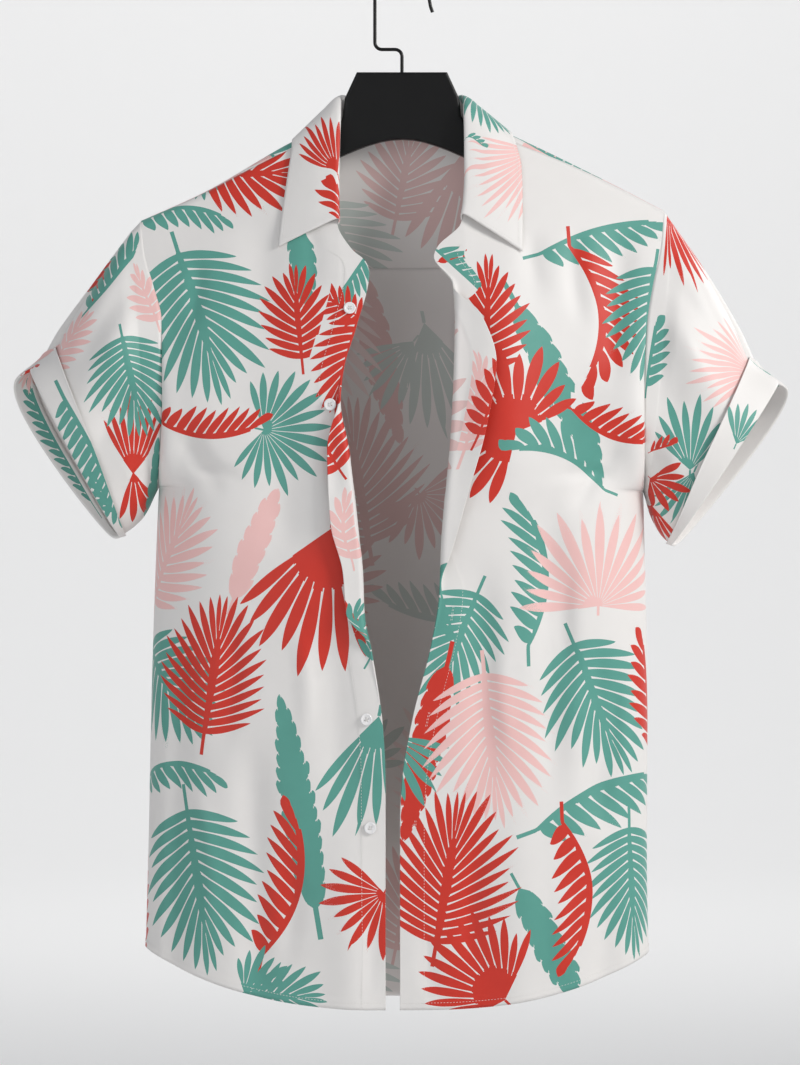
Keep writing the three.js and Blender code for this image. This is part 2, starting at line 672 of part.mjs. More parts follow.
function yokeGrid() {
  const columns = yokeColumns();
  const grid = [];
  const frontRowsOfYoke = 2;
  for (let i = 0; i <= YOKE_ROWS; i += 1) {
    grid.push(columns.map((column) => {
      const lowReach = backSeamReach(column.lowX);
      const behind = Math.max(i - frontRowsOfYoke, 0) / (YOKE_ROWS - frontRowsOfYoke);
      const onShoulder = column.edge !== undefined || Math.abs(column.x) > 57.5 || column.reach > 6.5;
      let reach = mix(column.reach, lowReach, i / YOKE_ROWS);
      let travel = i / YOKE_ROWS;
      if (onShoulder) {
        reach = i <= frontRowsOfYoke
          ? column.reach * (1 - i / frontRowsOfYoke)
          : lowReach * behind ** 1.5;
        travel = behind;
      }
      let x = mix(column.x, column.lowX, travel);
      const point = yokePoint(x, reach);
      if (column.edge) {
        x = Math.sign(column.x) * sideX(column.x < 0 ? 'right' : 'left', point.z);
        return yokePoint(x, reach);
      }
      return point;
    }));
  }
  return grid;
}

const yoke = yokeGrid();
addPiece('yoke', wall(yoke, CLOTH), cloth(0xeceae8));

// Armhole as a loop of points: up the front from the underarm, over the yoke, down the back
function armholeLoop(side) {
  const sign = signOf(side);
  const rows = frontRows(side);
  const frontEdge = fronts[side].slice(0, rows.upper + 1).map((line) => line[0]).reverse();
  const yokeEdge = yoke.map((line) => (side === 'right' ? line[0] : line[line.length - 1]));
  const backEdge = back.slice(0, BACK_UPPER_ROWS + 1).map((line) => (side === 'right' ? line[0] : line[line.length - 1]));
  const underarm = frontEdge[0].clone();
  underarm.y = 0;
  const loop = [underarm, ...frontEdge.slice(1, -1), ...yokeEdge, ...backEdge.slice(1, -1)];
  const away = CLOTH / 2 + ARMHOLE_GAP;
  return loop.map((point) => new THREE.Vector3(point.x + sign * away, point.y, point.z));
}

// Angle of each loop point round the sleeve, 0 at the underarm and half a turn at the tip
function loopAngles(loop) {
  const lengths = [0];
  for (let k = 1; k < loop.length; k += 1) {
    lengths.push(lengths[k - 1] + loop[k].distanceTo(loop[k - 1]));
  }
  const total = lengths[loop.length - 1] + loop[0].distanceTo(loop[loop.length - 1]);
  return lengths.map((length) => (length / total) * Math.PI * 2);
}

// A ring of the sleeve: it starts as the armhole and turns into an oval that hangs outward
function sleeveRing(side, loop, angles, row, swell, foldShare) {
  const sign = signOf(side);
  const low = loop[0].z;
  const high = Math.max(...loop.map((point) => point.z));
  const centreX = (row.topX + row.lowX) / 2;
  const centreZ = (row.topZ + row.lowZ) / 2;
  const reach = Math.hypot(row.topX - row.lowX, row.topZ - row.lowZ) / 2;
  return loop.map((start, k) => {
    const angle = angles[k];
    let fold = 0;
    for (const crease of SLEEVE_FOLDS) {
      const from = angle - crease.angle - crease.drift * row.along;
      fold += crease.depth * Math.exp(-((from / crease.width) ** 2));
    }
    fold *= Math.sin(Math.PI * Math.min(row.along, 1)) * foldShare;
    const ownHeight = (2 * (start.z - low)) / (high - low) - 1;
    const height = mix(-Math.cos(angle), ownHeight, row.keep) * (1 + swell / reach);
    const depth = (angle < Math.PI ? row.front : row.back) + swell + fold;
    const ovalY = SLEEVE_CENTRE_Y - depth * Math.sin(angle);
    const behind = Math.max(-Math.sin(angle), 0) * SLEEVE_BACK_REACH * smooth(row.along);
    const x = centreX + (height * (row.topX - row.lowX)) / 2 + behind;
    const z = centreZ + (height * (row.topZ - row.lowZ)) / 2 - behind * 0.4;
    return new THREE.Vector3(sign * x, mix(ovalY, start.y, row.keep), z);
  });
}

// A row of the sleeve's table between two of its rows
function sleeveRow(side, along) {
  const row = {};
  for (const key of Object.keys(SLEEVE[side][0])) {
    row[key] = read(SLEEVE[side], 'along', along, key);
  }
  return row;
}

for (const side of ['right', 'left']) {
  const loop = armholeLoop(side);
  const angles = loopAngles(loop);
  const rings = SLEEVE[side].map((row) => sleeveRing(side, loop, angles, row, 0, 1));
  addPiece(`sleeve_${side}`, wall([loop, ...rings], CLOTH, true), cloth(0xf1eeec));
  const cuff = CUFF_ROWS.map((row) => sleeveRing(side, loop, angles, sleeveRow(side, row.along), row.swell, 0));
  addPiece(`cuff_${side}`, wall(cuff, CLOTH, true), cloth(0xf1eeec));
}

// Collar: rows from the neck seam up the stand, over the roll and down the leaf
function collarStations() {
  const half = { right: [], left: [] };
  for (const side of ['right', 'left']) {
    const sign = signOf(side);
    for (const row of COLLAR[side]) {
      const neck = new THREE.Vector3(sign * row.neckX, -frontDepth(side, row.neckX, row.neckZ), row.neckZ);
      const edgeY = -frontDepth(side, row.edgeX, row.edgeZ) - LEAF_CLEARANCE;
      half[side].push({
        neck,
        roll: new THREE.Vector3(sign * row.rollX, Math.min(row.rollY, neck.y - 3.5), row.rollZ),
        edge: new THREE.Vector3(sign * row.edgeX, edgeY, row.edgeZ),
      });
    }
    for (const row of NECK_ON_YOKE) {
      half[side].push(yokeStation(sign, row));
    }
  }
  return [...half.right, yokeStation(1, NECK_CENTRE), ...half.left.reverse()];
}

function yokeStation(sign, row) {
  const edge = yokePoint(sign * row.edgeX, row.edgeReach);
  const slant = clamp(row.edgeReach / CAP_RADIUS, -CAP_ANGLE, CAP_ANGLE);
  edge.y -= LEAF_CLEARANCE * Math.sin(slant);
  edge.z += LEAF_CLEARANCE * Math.cos(slant);
  return {
    neck: yokePoint(sign * row.x, row.reach),
    roll: new THREE.Vector3(sign * row.rollX, row.rollY, row.rollZ),
    edge,
  };
}

function collarGrid() {
  const stations = collarStations();
  const rows = Array.from({ length: 8 }, () => []);
  for (const { neck, roll, edge } of stations) {
    const up = new THREE.Vector3().subVectors(roll, neck).normalize();
    up.add(new THREE.Vector3().subVectors(roll, edge).normalize()).normalize();
    const over = new THREE.Vector3().subVectors(edge, roll);
    over.addScaledVector(up, -over.dot(up)).normalize();
    const rise = new THREE.Vector3().subVectors(roll, neck).normalize();
    const away = CLOTH / 2 + COLLAR_GAP;
    const seam = neck.clone().addScaledVector(rise, away).addScaledVector(over, -away);
    const inner = roll.clone().addScaledVector(over, -COLLAR_ROLL_RADIUS);
    const top = roll.clone().addScaledVector(up, COLLAR_ROLL_RADIUS * 0.8);
    const outer = roll.clone().addScaledVector(over, COLLAR_ROLL_RADIUS);
    const line = [
      seam,
      seam.clone().lerp(inner, 0.55),
      inner,
      top,
      outer,
      outer.clone().lerp(edge, 0.33),
      outer.clone().lerp(edge, 0.67),
      edge,
    ];
    line.forEach((point, k) => rows[k].push(point));
  }
  return rows;
}

addPiece('collar', wall(collarGrid(), CLOTH), cloth(0xf3f0ee));

// Buttons: flat discs with a rounded rim, seated on the front's right side
function buttonGeometry() {
  const r = BUTTON_DIAMETER / 2;
  const t = BUTTON_THICKNESS / 2;
  const profile = [
    [0, -t],
    [r * 0.8, -t],
    [r, -t * 0.2],
    [r * 0.94, t * 0.8],
    [r * 0.72, t],
    [r * 0.6, t * 0.55],
    [0, t * 0.55],
  ].map(([x, y]) => new THREE.Vector2(x, y));
  return new THREE.LatheGeometry(profile, 14);
}

const pearl = new THREE.MeshStandardMaterial({ color: 0xf0eef0, roughness: 0.25, metalness: 0 });
BUTTONS.forEach((button, k) => {
  const grid = fronts.right;
  let row = 0;
  grid.forEach((line, i) => {
    const start = line[FRONT_COLUMNS];
    if (Math.abs(start.z - button.z) < Math.abs(grid[row][FRONT_COLUMNS].z - button.z)) {
      row = i;
    }
  });
  const { point, out } = seatOnFront(grid, row, button);
  const mesh = new THREE.Mesh(buttonGeometry(), pearl);
  mesh.name = `button_${k + 1}`;
  mesh.position.copy(point).addScaledVector(out, CLOTH / 2 + SEAM_GAP + button.lift + BUTTON_THICKNESS / 2);
  mesh.quaternion.setFromUnitVectors(new THREE.Vector3(0, 1, 0), out);
  shirtGroup.add(mesh);
});

// Hanger: a moulded block in the neck with an arm inside each shoulder
function hangerGeometry() {
  const armEnd = 206;
  const underside = [
    [armEnd - 2, 24],
    [150, 27],
    [100, 30],
  ];
  const topLine = (side, x) => ridgeZ(side, x) - CLOTH / 2 - HANGER_UNDER_CLOTH;
  const halfOutline = (side) => {
    const points = [[39, HANGER_TOP_Z], [49.2, -118], [51.3, -134], [54, topLine(side, 57) - 3]];
    for (const x of [66, 95, 120, 150, 175, armEnd - 8]) {
      points.push([x, topLine(side, x)]);
    }
    points.push([armEnd - 2, topLine(side, armEnd) - 2], [armEnd, topLine(side, armEnd) - 10]);
    for (const [x, drop] of underside) {
      points.push([x, topLine(side, x) - drop]);
    }
    points.push([55, -170], [40, -163.5], [20, -156.5]);
    return points;
  };
  const left = halfOutline('left');
  const right = halfOutline('right').map(([x, z]) => [-x, z]).reverse();
  const shape = new THREE.Shape([...right, ...left, [0, -154]].map(([x, z]) => new THREE.Vector2(x, z)));
  const geometry = new THREE.ExtrudeGeometry(shape, {
    depth: HANGER_THICKNESS - 2 * HANGER_BEVEL,
    bevelEnabled: true,
    bevelThickness: HANGER_BEVEL,
    bevelSize: HANGER_BEVEL,
    bevelOffset: -HANGER_BEVEL,
    bevelSegments: 2,
    steps: 1,
  });
  geometry.rotateX(Math.PI / 2);
  geometry.translate(0, HANGER_THICKNESS / 2 - HANGER_BEVEL, 0);
  return geometry;
}

const blackPlastic = new THREE.MeshStandardMaterial({ color: 0x161617, roughness: 0.42, metalness: 0 });
addPiece('hanger', hangerGeometry(), blackPlastic);

// Hook: bent wire from the block, sideways, up and over the rod
function hookGeometry() {
  const centreZ = WIRE_DIAMETER / 2 - HOOK_RADIUS;
  const stemBend = 5;
  const sideways = -76;
  const path = new THREE.CurvePath();
  const line = (x1, z1, x2, z2) => {
    path.add(new THREE.LineCurve3(new THREE.Vector3(x1, 0, z1), new THREE.Vector3(x2, 0, z2)));
  };
  const bend = (x1, z1, cx, cz, x2, z2) => {
    const corners = [new THREE.Vector3(x1, 0, z1), new THREE.Vector3(cx, 0, cz), new THREE.Vector3(x2, 0, z2)];
    path.add(new THREE.QuadraticBezierCurve3(...corners));
  };
  const left = -HOOK_RADIUS;
  line(0, HANGER_TOP_Z + SEAM_GAP, 0, sideways - stemBend);
  bend(0, sideways - stemBend, 0, sideways, -stemBend, sideways);
  line(-stemBend, sideways, left + stemBend, sideways);
  bend(left + stemBend, sideways, left, sideways, left, sideways + stemBend);
  line(left, sideways + stemBend, left, centreZ);
  const steps = 14;
  for (let k = 0; k < steps; k += 1) {
    const from = Math.PI * (1 - k / steps);
    const to = Math.PI * (1 - (k + 1) / steps);
    const point = (a) => [HOOK_RADIUS * Math.cos(a), centreZ + HOOK_RADIUS * Math.sin(a)];
    line(...point(from), ...point(to));
  }
  line(HOOK_RADIUS, centreZ, HOOK_RADIUS + 0.4, centreZ - 12);
  line(HOOK_RADIUS + 0.4, centreZ - 12, HOOK_RADIUS + 3, centreZ - 22);
  const section = new THREE.Shape();
  const sides = 8;
  for (let k = 0; k < sides; k += 1) {
    const angle = (k / sides) * Math.PI * 2;
    const x = (WIRE_DIAMETER / 2) * Math.cos(angle);
    const y = (WIRE_DIAMETER / 2) * Math.sin(angle);
    if (k === 0) {
      section.moveTo(x, y);
    } else {
      section.lineTo(x, y);
    }
  }
  section.closePath();
  return new THREE.ExtrudeGeometry(section, { steps: 44, bevelEnabled: false, extrudePath: path });
}

const blackWire = new THREE.MeshStandardMaterial({ color: 0x1b1b1c, roughness: 0.35, metalness: 0.6 });
addPiece('hook', hookGeometry(), blackWire);

export default shirtGroup;
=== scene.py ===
# %% [markdown]
# # A leaf-print shirt hanging open on its hanger
#
# The shirt is sewn from two fronts, a back, a yoke over the shoulders, two sleeves with
# turned-up cuffs and a collar. It hangs on a moulded black hanger with a wire hook.
# Each cloth piece here is one grid of corners that a function bends into place, then a thin
# wall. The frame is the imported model: every piece below stands where its solid stands.

import math

import bmesh
import bpy
import numpy as np
from mathutils import Matrix, Vector


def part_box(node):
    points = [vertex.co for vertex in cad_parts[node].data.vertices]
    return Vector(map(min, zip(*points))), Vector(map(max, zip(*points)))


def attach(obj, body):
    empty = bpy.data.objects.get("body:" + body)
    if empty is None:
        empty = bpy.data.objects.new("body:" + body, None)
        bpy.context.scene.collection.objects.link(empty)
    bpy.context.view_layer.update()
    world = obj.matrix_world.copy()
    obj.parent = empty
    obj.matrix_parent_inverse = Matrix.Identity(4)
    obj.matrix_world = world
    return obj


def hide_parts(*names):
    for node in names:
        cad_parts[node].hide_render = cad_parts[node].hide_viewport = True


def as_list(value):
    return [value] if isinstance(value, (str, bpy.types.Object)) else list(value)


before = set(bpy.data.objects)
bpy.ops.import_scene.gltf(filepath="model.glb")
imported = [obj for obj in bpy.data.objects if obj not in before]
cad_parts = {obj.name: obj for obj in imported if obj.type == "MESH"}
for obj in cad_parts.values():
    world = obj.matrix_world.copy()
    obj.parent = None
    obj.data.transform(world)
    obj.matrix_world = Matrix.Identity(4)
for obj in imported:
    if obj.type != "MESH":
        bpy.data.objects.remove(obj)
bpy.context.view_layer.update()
MM = 0.001

# %% [markdown]
# ## Camera
#
# The photograph looks straight at the shirt. A long lens far away keeps the sleeves and the
# hem at their true places, as the photograph does. The frame is 800 by 1065 pixels, and one
# pixel is 0.85 mm at the fronts, so the view is 905 mm high there.

# %% Camera in front of the shirt
PIXEL = 0.85
VIEW_HEIGHT = 1065 * PIXEL * MM
VIEW_CENTRE = Vector((-1.7 * MM, -60 * MM, -493.4 * MM))
CAMERA_DISTANCE = 3.6

lens = bpy.data.cameras.new("camera")
lens.sensor_fit = "VERTICAL"
lens.sensor_height = 36
lens.lens = 36 * CAMERA_DISTANCE / VIEW_HEIGHT
lens.clip_end = 60
camera = bpy.data.objects.new("camera", lens)
camera.location = VIEW_CENTRE + Vector((0, -CAMERA_DISTANCE, 0))
camera.rotation_euler = (math.radians(90), 0, 0)
bpy.context.scene.collection.objects.link(camera)
bpy.context.scene.camera = camera
print("lens", round(lens.lens, 1), "mm")

# %% [markdown]
# ## Tables and curves
#
# A pattern cutter keeps a garment as a few measures at named heights. Here each is a short
# table in millimetres, and a curve runs through its rows without swinging past them, so one
# row can be changed without a dent appearing somewhere else.

# %% Tables, curves and small helpers
def table(columns, *rows):
    names = columns.split()
    return [dict(zip(names, row)) for row in rows]


def curve(rows, key, value):
    places = sorted((row[key], row[value]) for row in rows)
    xs = np.array([place[0] for place in places], float)
    ys = np.array([place[1] for place in places], float)
    slopes = np.diff(ys) / np.diff(xs)
    tangents = np.concatenate(([slopes[0]], slopes, [slopes[-1]]))[: len(ys)]
    product = slopes[:-1] * slopes[1:]
    total = np.where(slopes[:-1] + slopes[1:] == 0, 1, slopes[:-1] + slopes[1:])
    tangents[1:-1] = np.where(product > 0, 2 * product / total, 0)

    def at(x):
        x = np.clip(x, xs[0], xs[-1])
        k = np.clip(np.searchsorted(xs, x, side="right") - 1, 0, len(xs) - 2)
        span = xs[k + 1] - xs[k]
        t = (x - xs[k]) / span
        rise = ys[k + 1] - ys[k]
        a = tangents[k] * span - rise
        b = rise - tangents[k + 1] * span
        return ys[k] + t * rise + t * (1 - t) * (a * (1 - t) + b * t)

    return at


def mix(a, b, t):
    return a + (b - a) * t


def smooth(t):
    t = np.clip(t, 0, 1)
    return t * t * (3 - 2 * t)


def arc(points, axis):
    """How far each corner lies from the first one, measured along the grid."""
    steps = np.linalg.norm(np.diff(points, axis=axis), axis=-1)
    start = np.zeros_like(np.take(steps, [0], axis=axis))
    return np.concatenate([start, np.cumsum(steps, axis=axis)], axis=axis)


def mesh_from(bm, title):
    mesh = bpy.data.meshes.new(title)
    bm.to_mesh(mesh)
    bm.free()
    return mesh


def stand(title, data):
    piece = bpy.data.objects.new(title, data)
    bpy.context.scene.collection.objects.link(piece)
    return piece


def finished_mesh(piece):
    """The mesh of a piece with its modifiers applied."""
    bpy.context.view_layer.update()
    graph = bpy.context.evaluated_depsgraph_get()
    return bpy.data.meshes.new_from_object(piece.evaluated_get(graph))


# %% [markdown]
# ## The shirt's measures
#
# The outline comes from the photograph: the slope of the shoulders, the sides, the inner
# edge of each front with how much of it is rolled outward, and the curved hem. The depth is
# that of a shirt of this size, about 1050 mm round, and the back is finished like the front.

# %% Measures of the body
SIDES = ("right", "left")
SIGN = {"right": -1, "left": 1}
CLOTH = 0.7
SEAM_GAP = 0.05
SHOULDER = {
    "right": table("x z", (54, -136.0), (95, -155.6), (172, -199.8), (225, -223.6)),
    "left": table("x z", (54, -131.8), (98, -151.3), (185, -193.8), (226, -215.1)),
}
YOKE_FORWARD = table("x reach", (54, 14), (95, 12), (172, 4), (226, 3))
SIDE = {
    "right": table("z x", (-223, 225), (-252, 222), (-287, 212.5), (-316, 205.5), (-380, 204.5),
                   (-466, 210), (-636, 215.9), (-763, 218.5), (-855, 221)),
    "left": table("z x", (-214, 226), (-246, 223), (-285, 215), (-321, 209), (-366, 206.6),
                  (-457, 208), (-636, 211.7), (-774, 211.2), (-853, 212.5)),
}
UNDERARM = {"right": -453, "left": -457}
DEPTH = table("z front back", (-150, 50, 44), (-262, 61, 50), (-400, 69, 56), (-560, 71, 57),
              (-720, 68, 54), (-900, 64, 50))
FRONT_EDGE = {
    "right": table("z x rolled", (-140, 57, 0.8), (-200, 56.5, 0.8), (-230, 55.3, 0.8),
                   (-252, 43.2, 0.8), (-264, 30.5, 0.8), (-273, 28, 0.8), (-320, 39, 0.8),
                   (-353, 49, 1), (-381, 52.7, 8), (-425, 45, 26), (-487, 37.4, 29.6),
                   (-528, 33.6, 23.5), (-562, 32.2, 23), (-593, 26.4, 6), (-661, 16, 0.8),
                   (-704, 14, 0.8), (-900, 14, 0.8)),
    "left": table("z x rolled", (-140, 57, 0.8), (-200, 56, 0.8), (-230, 50.2, 0.8),
                  (-250, 30, 0.8), (-258, 27, 0.8), (-283, 43.8, 6), (-309, 45, 30),
                  (-351, 44.2, 43.5), (-406, 41.7, 38.4), (-460, 37, 28.6), (-511, 33.2, 16.7),
                  (-542, 32.3, 5), (-585, 25.5, 1.5), (-653, 8.5, 0.8), (-704, 0, 0.8),
                  (-738, -1.7, 0.8), (-900, -1.7, 0.8)),
}
ROLL_RADIUS = {"right": 3.5, "left": 4}
NECK_CORNER = {"right": -264, "left": -258}
HEM_CENTRE, HEM_RISE, HEM_HALF, HEM_POWER = -899, 46, 215, 2.6
BACK_SEAM = -262
NECK_X = 57.2
CAP_RADIUS, CAP_ANGLE, WEDGE_SLOPE, BLEND = 10, 1.279, 0.30, 12
SECTION_POWER, ARMHOLE_FRONT, ARMHOLE_BACK, UNDERARM_ROUND = 2.6, 45, 38, 75
ARMHOLE_WIDTH = 70

# %% [markdown]
# ## Folds
#
# Hanging cloth falls in long soft folds that start under a seam and fade out lower down,
# each with its own length and depth. The big ones are those of the solids. The small ones,
# such as the drag lines from the armholes and the ripples over the hem, are added here.
# A row gives a crease its two ends, its half width and its depth: a trough is negative.

# %% The folds of each panel
FOLDS = {
    "right": table("x lean top bottom width depth",
                   (165, 0.00, -230, -560, 26, 4), (117, 0.02, -215, -340, 20, -4),
                   (100, 0.00, -360, -530, 22, -6), (190, 0.02, -540, -960, 12, -5),
                   (128, -0.02, -640, -930, 15, -6), (60, -0.04, -560, -730, 16, -4),
                   (44, 0.00, -730, -980, 20, 5)),
    "left": table("x lean top bottom width depth",
                  (85, 0.02, -220, -490, 24, 5), (186, -0.02, -220, -380, 16, -5),
                  (66, 0.02, -500, -730, 16, -6), (126, 0.01, -450, -740, 15, -7),
                  (168, 0.00, -580, -760, 13, -6), (100, 0.00, -700, -960, 24, 5),
                  (170, 0.03, -770, -960, 14, -5)),
    "back": table("x lean top bottom width depth",
                  (-150, 0.04, -300, -620, 18, -6), (-92, -0.03, -420, -960, 20, 6),
                  (-30, 0.02, -280, -560, 22, -4), (22, 0.03, -520, -970, 20, -7),
                  (84, -0.02, -300, -700, 20, 5), (140, -0.04, -380, -960, 17, -6),
                  (-170, 0.01, -640, -970, 15, -5)),
}
CREASES = {
    "right": table("x z to_x to_z width depth",
                   (196, -405, 150, -470, 9, -2.6), (188, -436, 128, -452, 7, -1.8),
                   (176, -250, 186, -330, 8, -2.0), (84, -215, 78, -300, 9, -1.8),
                   (150, -540, 158, -700, 9, -2.2), (92, -560, 86, -690, 8, 1.8),
                   (176, -700, 170, -870, 9, 2.0), (100, -740, 106, -890, 10, -2.4),
                   (66, -400, 60, -480, 8, -1.6), (30, -800, 34, -900, 9, -1.8)),
    "left": table("x z to_x to_z width depth",
                  (196, -410, 140, -486, 9, -2.6), (186, -444, 120, -448, 7, -1.6),
                  (150, -225, 158, -330, 9, -2.2), (112, -230, 120, -300, 9, -2.0),
                  (90, -560, 96, -700, 9, 2.0), (146, -500, 150, -650, 8, -2.2),
                  (70, -740, 64, -880, 10, -2.4), (140, -780, 146, -890, 9, 2.0),
                  (190, -600, 186, -720, 8, -1.8), (24, -820, 30, -900, 9, -1.8)),
    "back": table("x z to_x to_z width depth",
                  (-190, -420, -130, -500, 9, -2.4), (190, -415, 138, -480, 9, -2.2),
                  (-60, -280, -54, -420, 9, -2.0), (46, -280, 52, -390, 8, -2.2),
                  (110, -560, 116, -760, 10, 2.2), (-120, -640, -126, -860, 9, -2.4),
                  (-6, -660, 0, -880, 10, 2.0), (60, -720, 56, -890, 9, -2.4),
                  (178, -640, 174, -860, 9, -2.0)),
}


CREASE_GAIN = 1.45


def fold_depth(rows, x, z):
    total = 0
    for fold in rows:
        centre = fold["x"] + fold["lean"] * (fold["top"] - z)
        along = (fold["top"] - z) / (fold["top"] - fold["bottom"])
        fade = smooth(along / 0.3) * smooth((1 - along) / 0.3)
        total = total + fold["depth"] * fade * np.exp(-(((x - centre) / fold["width"]) ** 2))
    return total


def crease_depth(rows, x, z):
    total = 0
    for crease in rows:
        run_x, run_z = crease["to_x"] - crease["x"], crease["to_z"] - crease["z"]
        length = math.hypot(run_x, run_z)
        away_x, away_z = x - crease["x"], z - crease["z"]
        along = (away_x * run_x + away_z * run_z) / length**2
        across = (away_x * run_z - away_z * run_x) / length
        bow = 0.06 * length * np.sin(math.pi * np.clip(along, 0, 1))
        fade = smooth(along / 0.35) * smooth((1 - along) / 0.45)
        total = total + crease["depth"] * fade * np.exp(-(((across - bow) / crease["width"]) ** 2))
    return total


def ripple(x, z, seed, height=0.35):
    total = 0
    for k in range(5):
        turn = seed * 1.7 + k * 2.4
        pitch = 34 + 19 * k
        total = total + np.sin((x * math.cos(turn) + z * math.sin(turn) * 0.5) * 2 * math.pi / pitch + turn * 3)
    return total * height / 2.2


print("folds", {name: len(rows) + len(CREASES[name]) for name, rows in FOLDS.items()})

# %% [markdown]
# ## The form under the cloth
#
# At the shoulders the cloth lies round the hanger's arms and falls away on both sides like
# a tent. Below the armholes it is a flat tube whose section is a rounded lens. One depth
# function joins the two with a soft blend, and every panel, sleeve and collar reads it, so
# neighbours meet by themselves.

# %% Depth of the front and the back
side_x = {side: curve(SIDE[side], "z", "x") for side in SIDES}
shoulder_z = {side: curve(SHOULDER[side], "x", "z") for side in SIDES}
depth_of = {face: curve(DEPTH, "z", face) for face in ("front", "back")}
edge_x = {side: curve(FRONT_EDGE[side], "z", "x") for side in SIDES}
edge_rolled = {side: curve(FRONT_EDGE[side], "z", "rolled") for side in SIDES}
forward_reach = curve(YOKE_FORWARD, "x", "reach")


def ridge(side, x):
    tip, inner = SHOULDER[side][-1], SHOULDER[side][-2]
    slope = (tip["z"] - inner["z"]) / (tip["x"] - inner["x"])
    neck = SHOULDER[side][0]
    middle = (SHOULDER["right"][0]["z"] + SHOULDER["left"][0]["z"]) / 2
    level = (middle - neck["z"]) * (1 - smooth(x / neck["x"]))
    return shoulder_z[side](x) + level + np.maximum(x - tip["x"], 0) * slope - 0.6


ARC_DROP = CAP_RADIUS * (1 - math.cos(CAP_ANGLE))
ARC_LENGTH = CAP_RADIUS * CAP_ANGLE


def wedge(drop):
    near = np.clip(drop, 0, ARC_DROP)
    cap = np.sqrt(2 * CAP_RADIUS * near - near * near)
    return cap + WEDGE_SLOPE * np.maximum(drop - ARC_DROP, 0)


def drop_after(distance):
    near = CAP_RADIUS * (1 - np.cos(np.minimum(distance, ARC_LENGTH) / CAP_RADIUS))
    return near + np.maximum(distance - ARC_LENGTH, 0) * math.sin(CAP_ANGLE)


def distance_after(drop):
    near = CAP_RADIUS * np.arccos(1 - np.minimum(drop, ARC_DROP) / CAP_RADIUS)
    return near + np.maximum(drop - ARC_DROP, 0) / math.sin(CAP_ANGLE)


def hem_z(x):
    return HEM_CENTRE + HEM_RISE * (np.abs(x) / HEM_HALF) ** HEM_POWER


def hem_shift(x, progress):
    return (hem_z(x) - HEM_CENTRE) * progress * progress


def smooth_min(a, b):
    h = np.clip(0.5 + 0.5 * (b - a) / BLEND, 0, 1)
    return mix(b, a, h) - BLEND * h * (1 - h)


def plain_depth(side, x, z, face):
    edge = ARMHOLE_FRONT if face == "front" else ARMHOLE_BACK
    rise = np.clip((z - UNDERARM[side]) / UNDERARM_ROUND, 0, 1)
    half = side_x[side](z)
    round_start = mix(np.sqrt(1 - (1 - rise) ** 2), smooth(rise), smooth((half - x) / ARMHOLE_WIDTH * 2))
    armhole = edge * round_start * (1 - smooth((half - x) / ARMHOLE_WIDTH))
    inward = np.clip((half - x) / half, 0, 1)
    section = (1 - (1 - inward) ** SECTION_POWER) ** (1 / SECTION_POWER)
    full = armhole + (depth_of[face](z) - armhole) * section
    return smooth_min(wedge(ridge(side, x) - z), full)


def front_depth(side, x, z):
    calm = smooth((side_x[side](z) - x) / 30)
    near_seam = smooth((ridge(side, x) - z) / 40)
    fine = CREASE_GAIN * crease_depth(CREASES[side], x, z) + ripple(x, z, SIGN[side])
    return plain_depth(side, x, z, "front") + calm * (fold_depth(FOLDS[side], x, z) + near_seam * fine)


def back_depth(x, z):
    x, z = np.broadcast_arrays(np.asarray(x, float), np.asarray(z, float))
    away = np.abs(x)
    plain = np.where(x < 0, plain_depth("right", away, z, "back"), plain_depth("left", away, z, "back"))
    half = np.where(x < 0, side_x["right"](z), side_x["left"](z))
    calm = smooth((half - away) / 30)
    below = smooth((BACK_SEAM - z) / 60)
    neck = 10 * np.exp(-((x / 50) ** 2)) * smooth((z + 420) / 200)
    fine = CREASE_GAIN * crease_depth(CREASES["back"], x, z) + ripple(x, z, 3)
    return plain + neck + calm * below * (fold_depth(FOLDS["back"], x, z) + fine)


def front_seam(side, x):
    return ridge(side, x) - drop_after(forward_reach(x))


print("chest depth", round(float(front_depth("left", 60, -450)), 1), round(float(back_depth(60, -450)), 1))

# %% [markdown]
# ## Sewing a panel
#
# A panel starts as `bmesh.ops.create_grid`, which numbers its corners like graph paper.
# Each corner then moves to its place on the shirt, and its UV map keeps where it lies on
# the flat cloth, in metres, so the print and the weave follow the surface. Solidify turns
# the sheet into a thin wall with a right side, a wrong side and a cut edge.

# %% Helpers that sew a grid into a cloth piece
def flat_map(points, middle, hand=1):
    u = arc(points[:, :, :2], 1)
    u = hand * (u - u[:, middle : middle + 1]) + points[:, middle : middle + 1, 0]
    return np.stack([u, points[:, :, 2]], axis=2)


def limb_map(points):
    around = arc(points, 1)
    middle, top = points.shape[1] // 4, points.shape[1] // 2
    upward = (points[:, top] - points[:, 0])[:, [0, 2]]
    upward = upward / np.linalg.norm(upward, axis=1, keepdims=True)
    around = around - around[:, middle : middle + 1]
    return points[:, middle : middle + 1][:, :, [0, 2]] + around[:, :, None] * upward[:, None]


def tube_map(points):
    u, v = arc(points, 1), -arc(points, 0).mean(axis=1)
    u = u - u[:, -1:] / 2
    return np.stack([u, np.repeat(v[:, None], points.shape[1], axis=1)], axis=2)


turned = {}


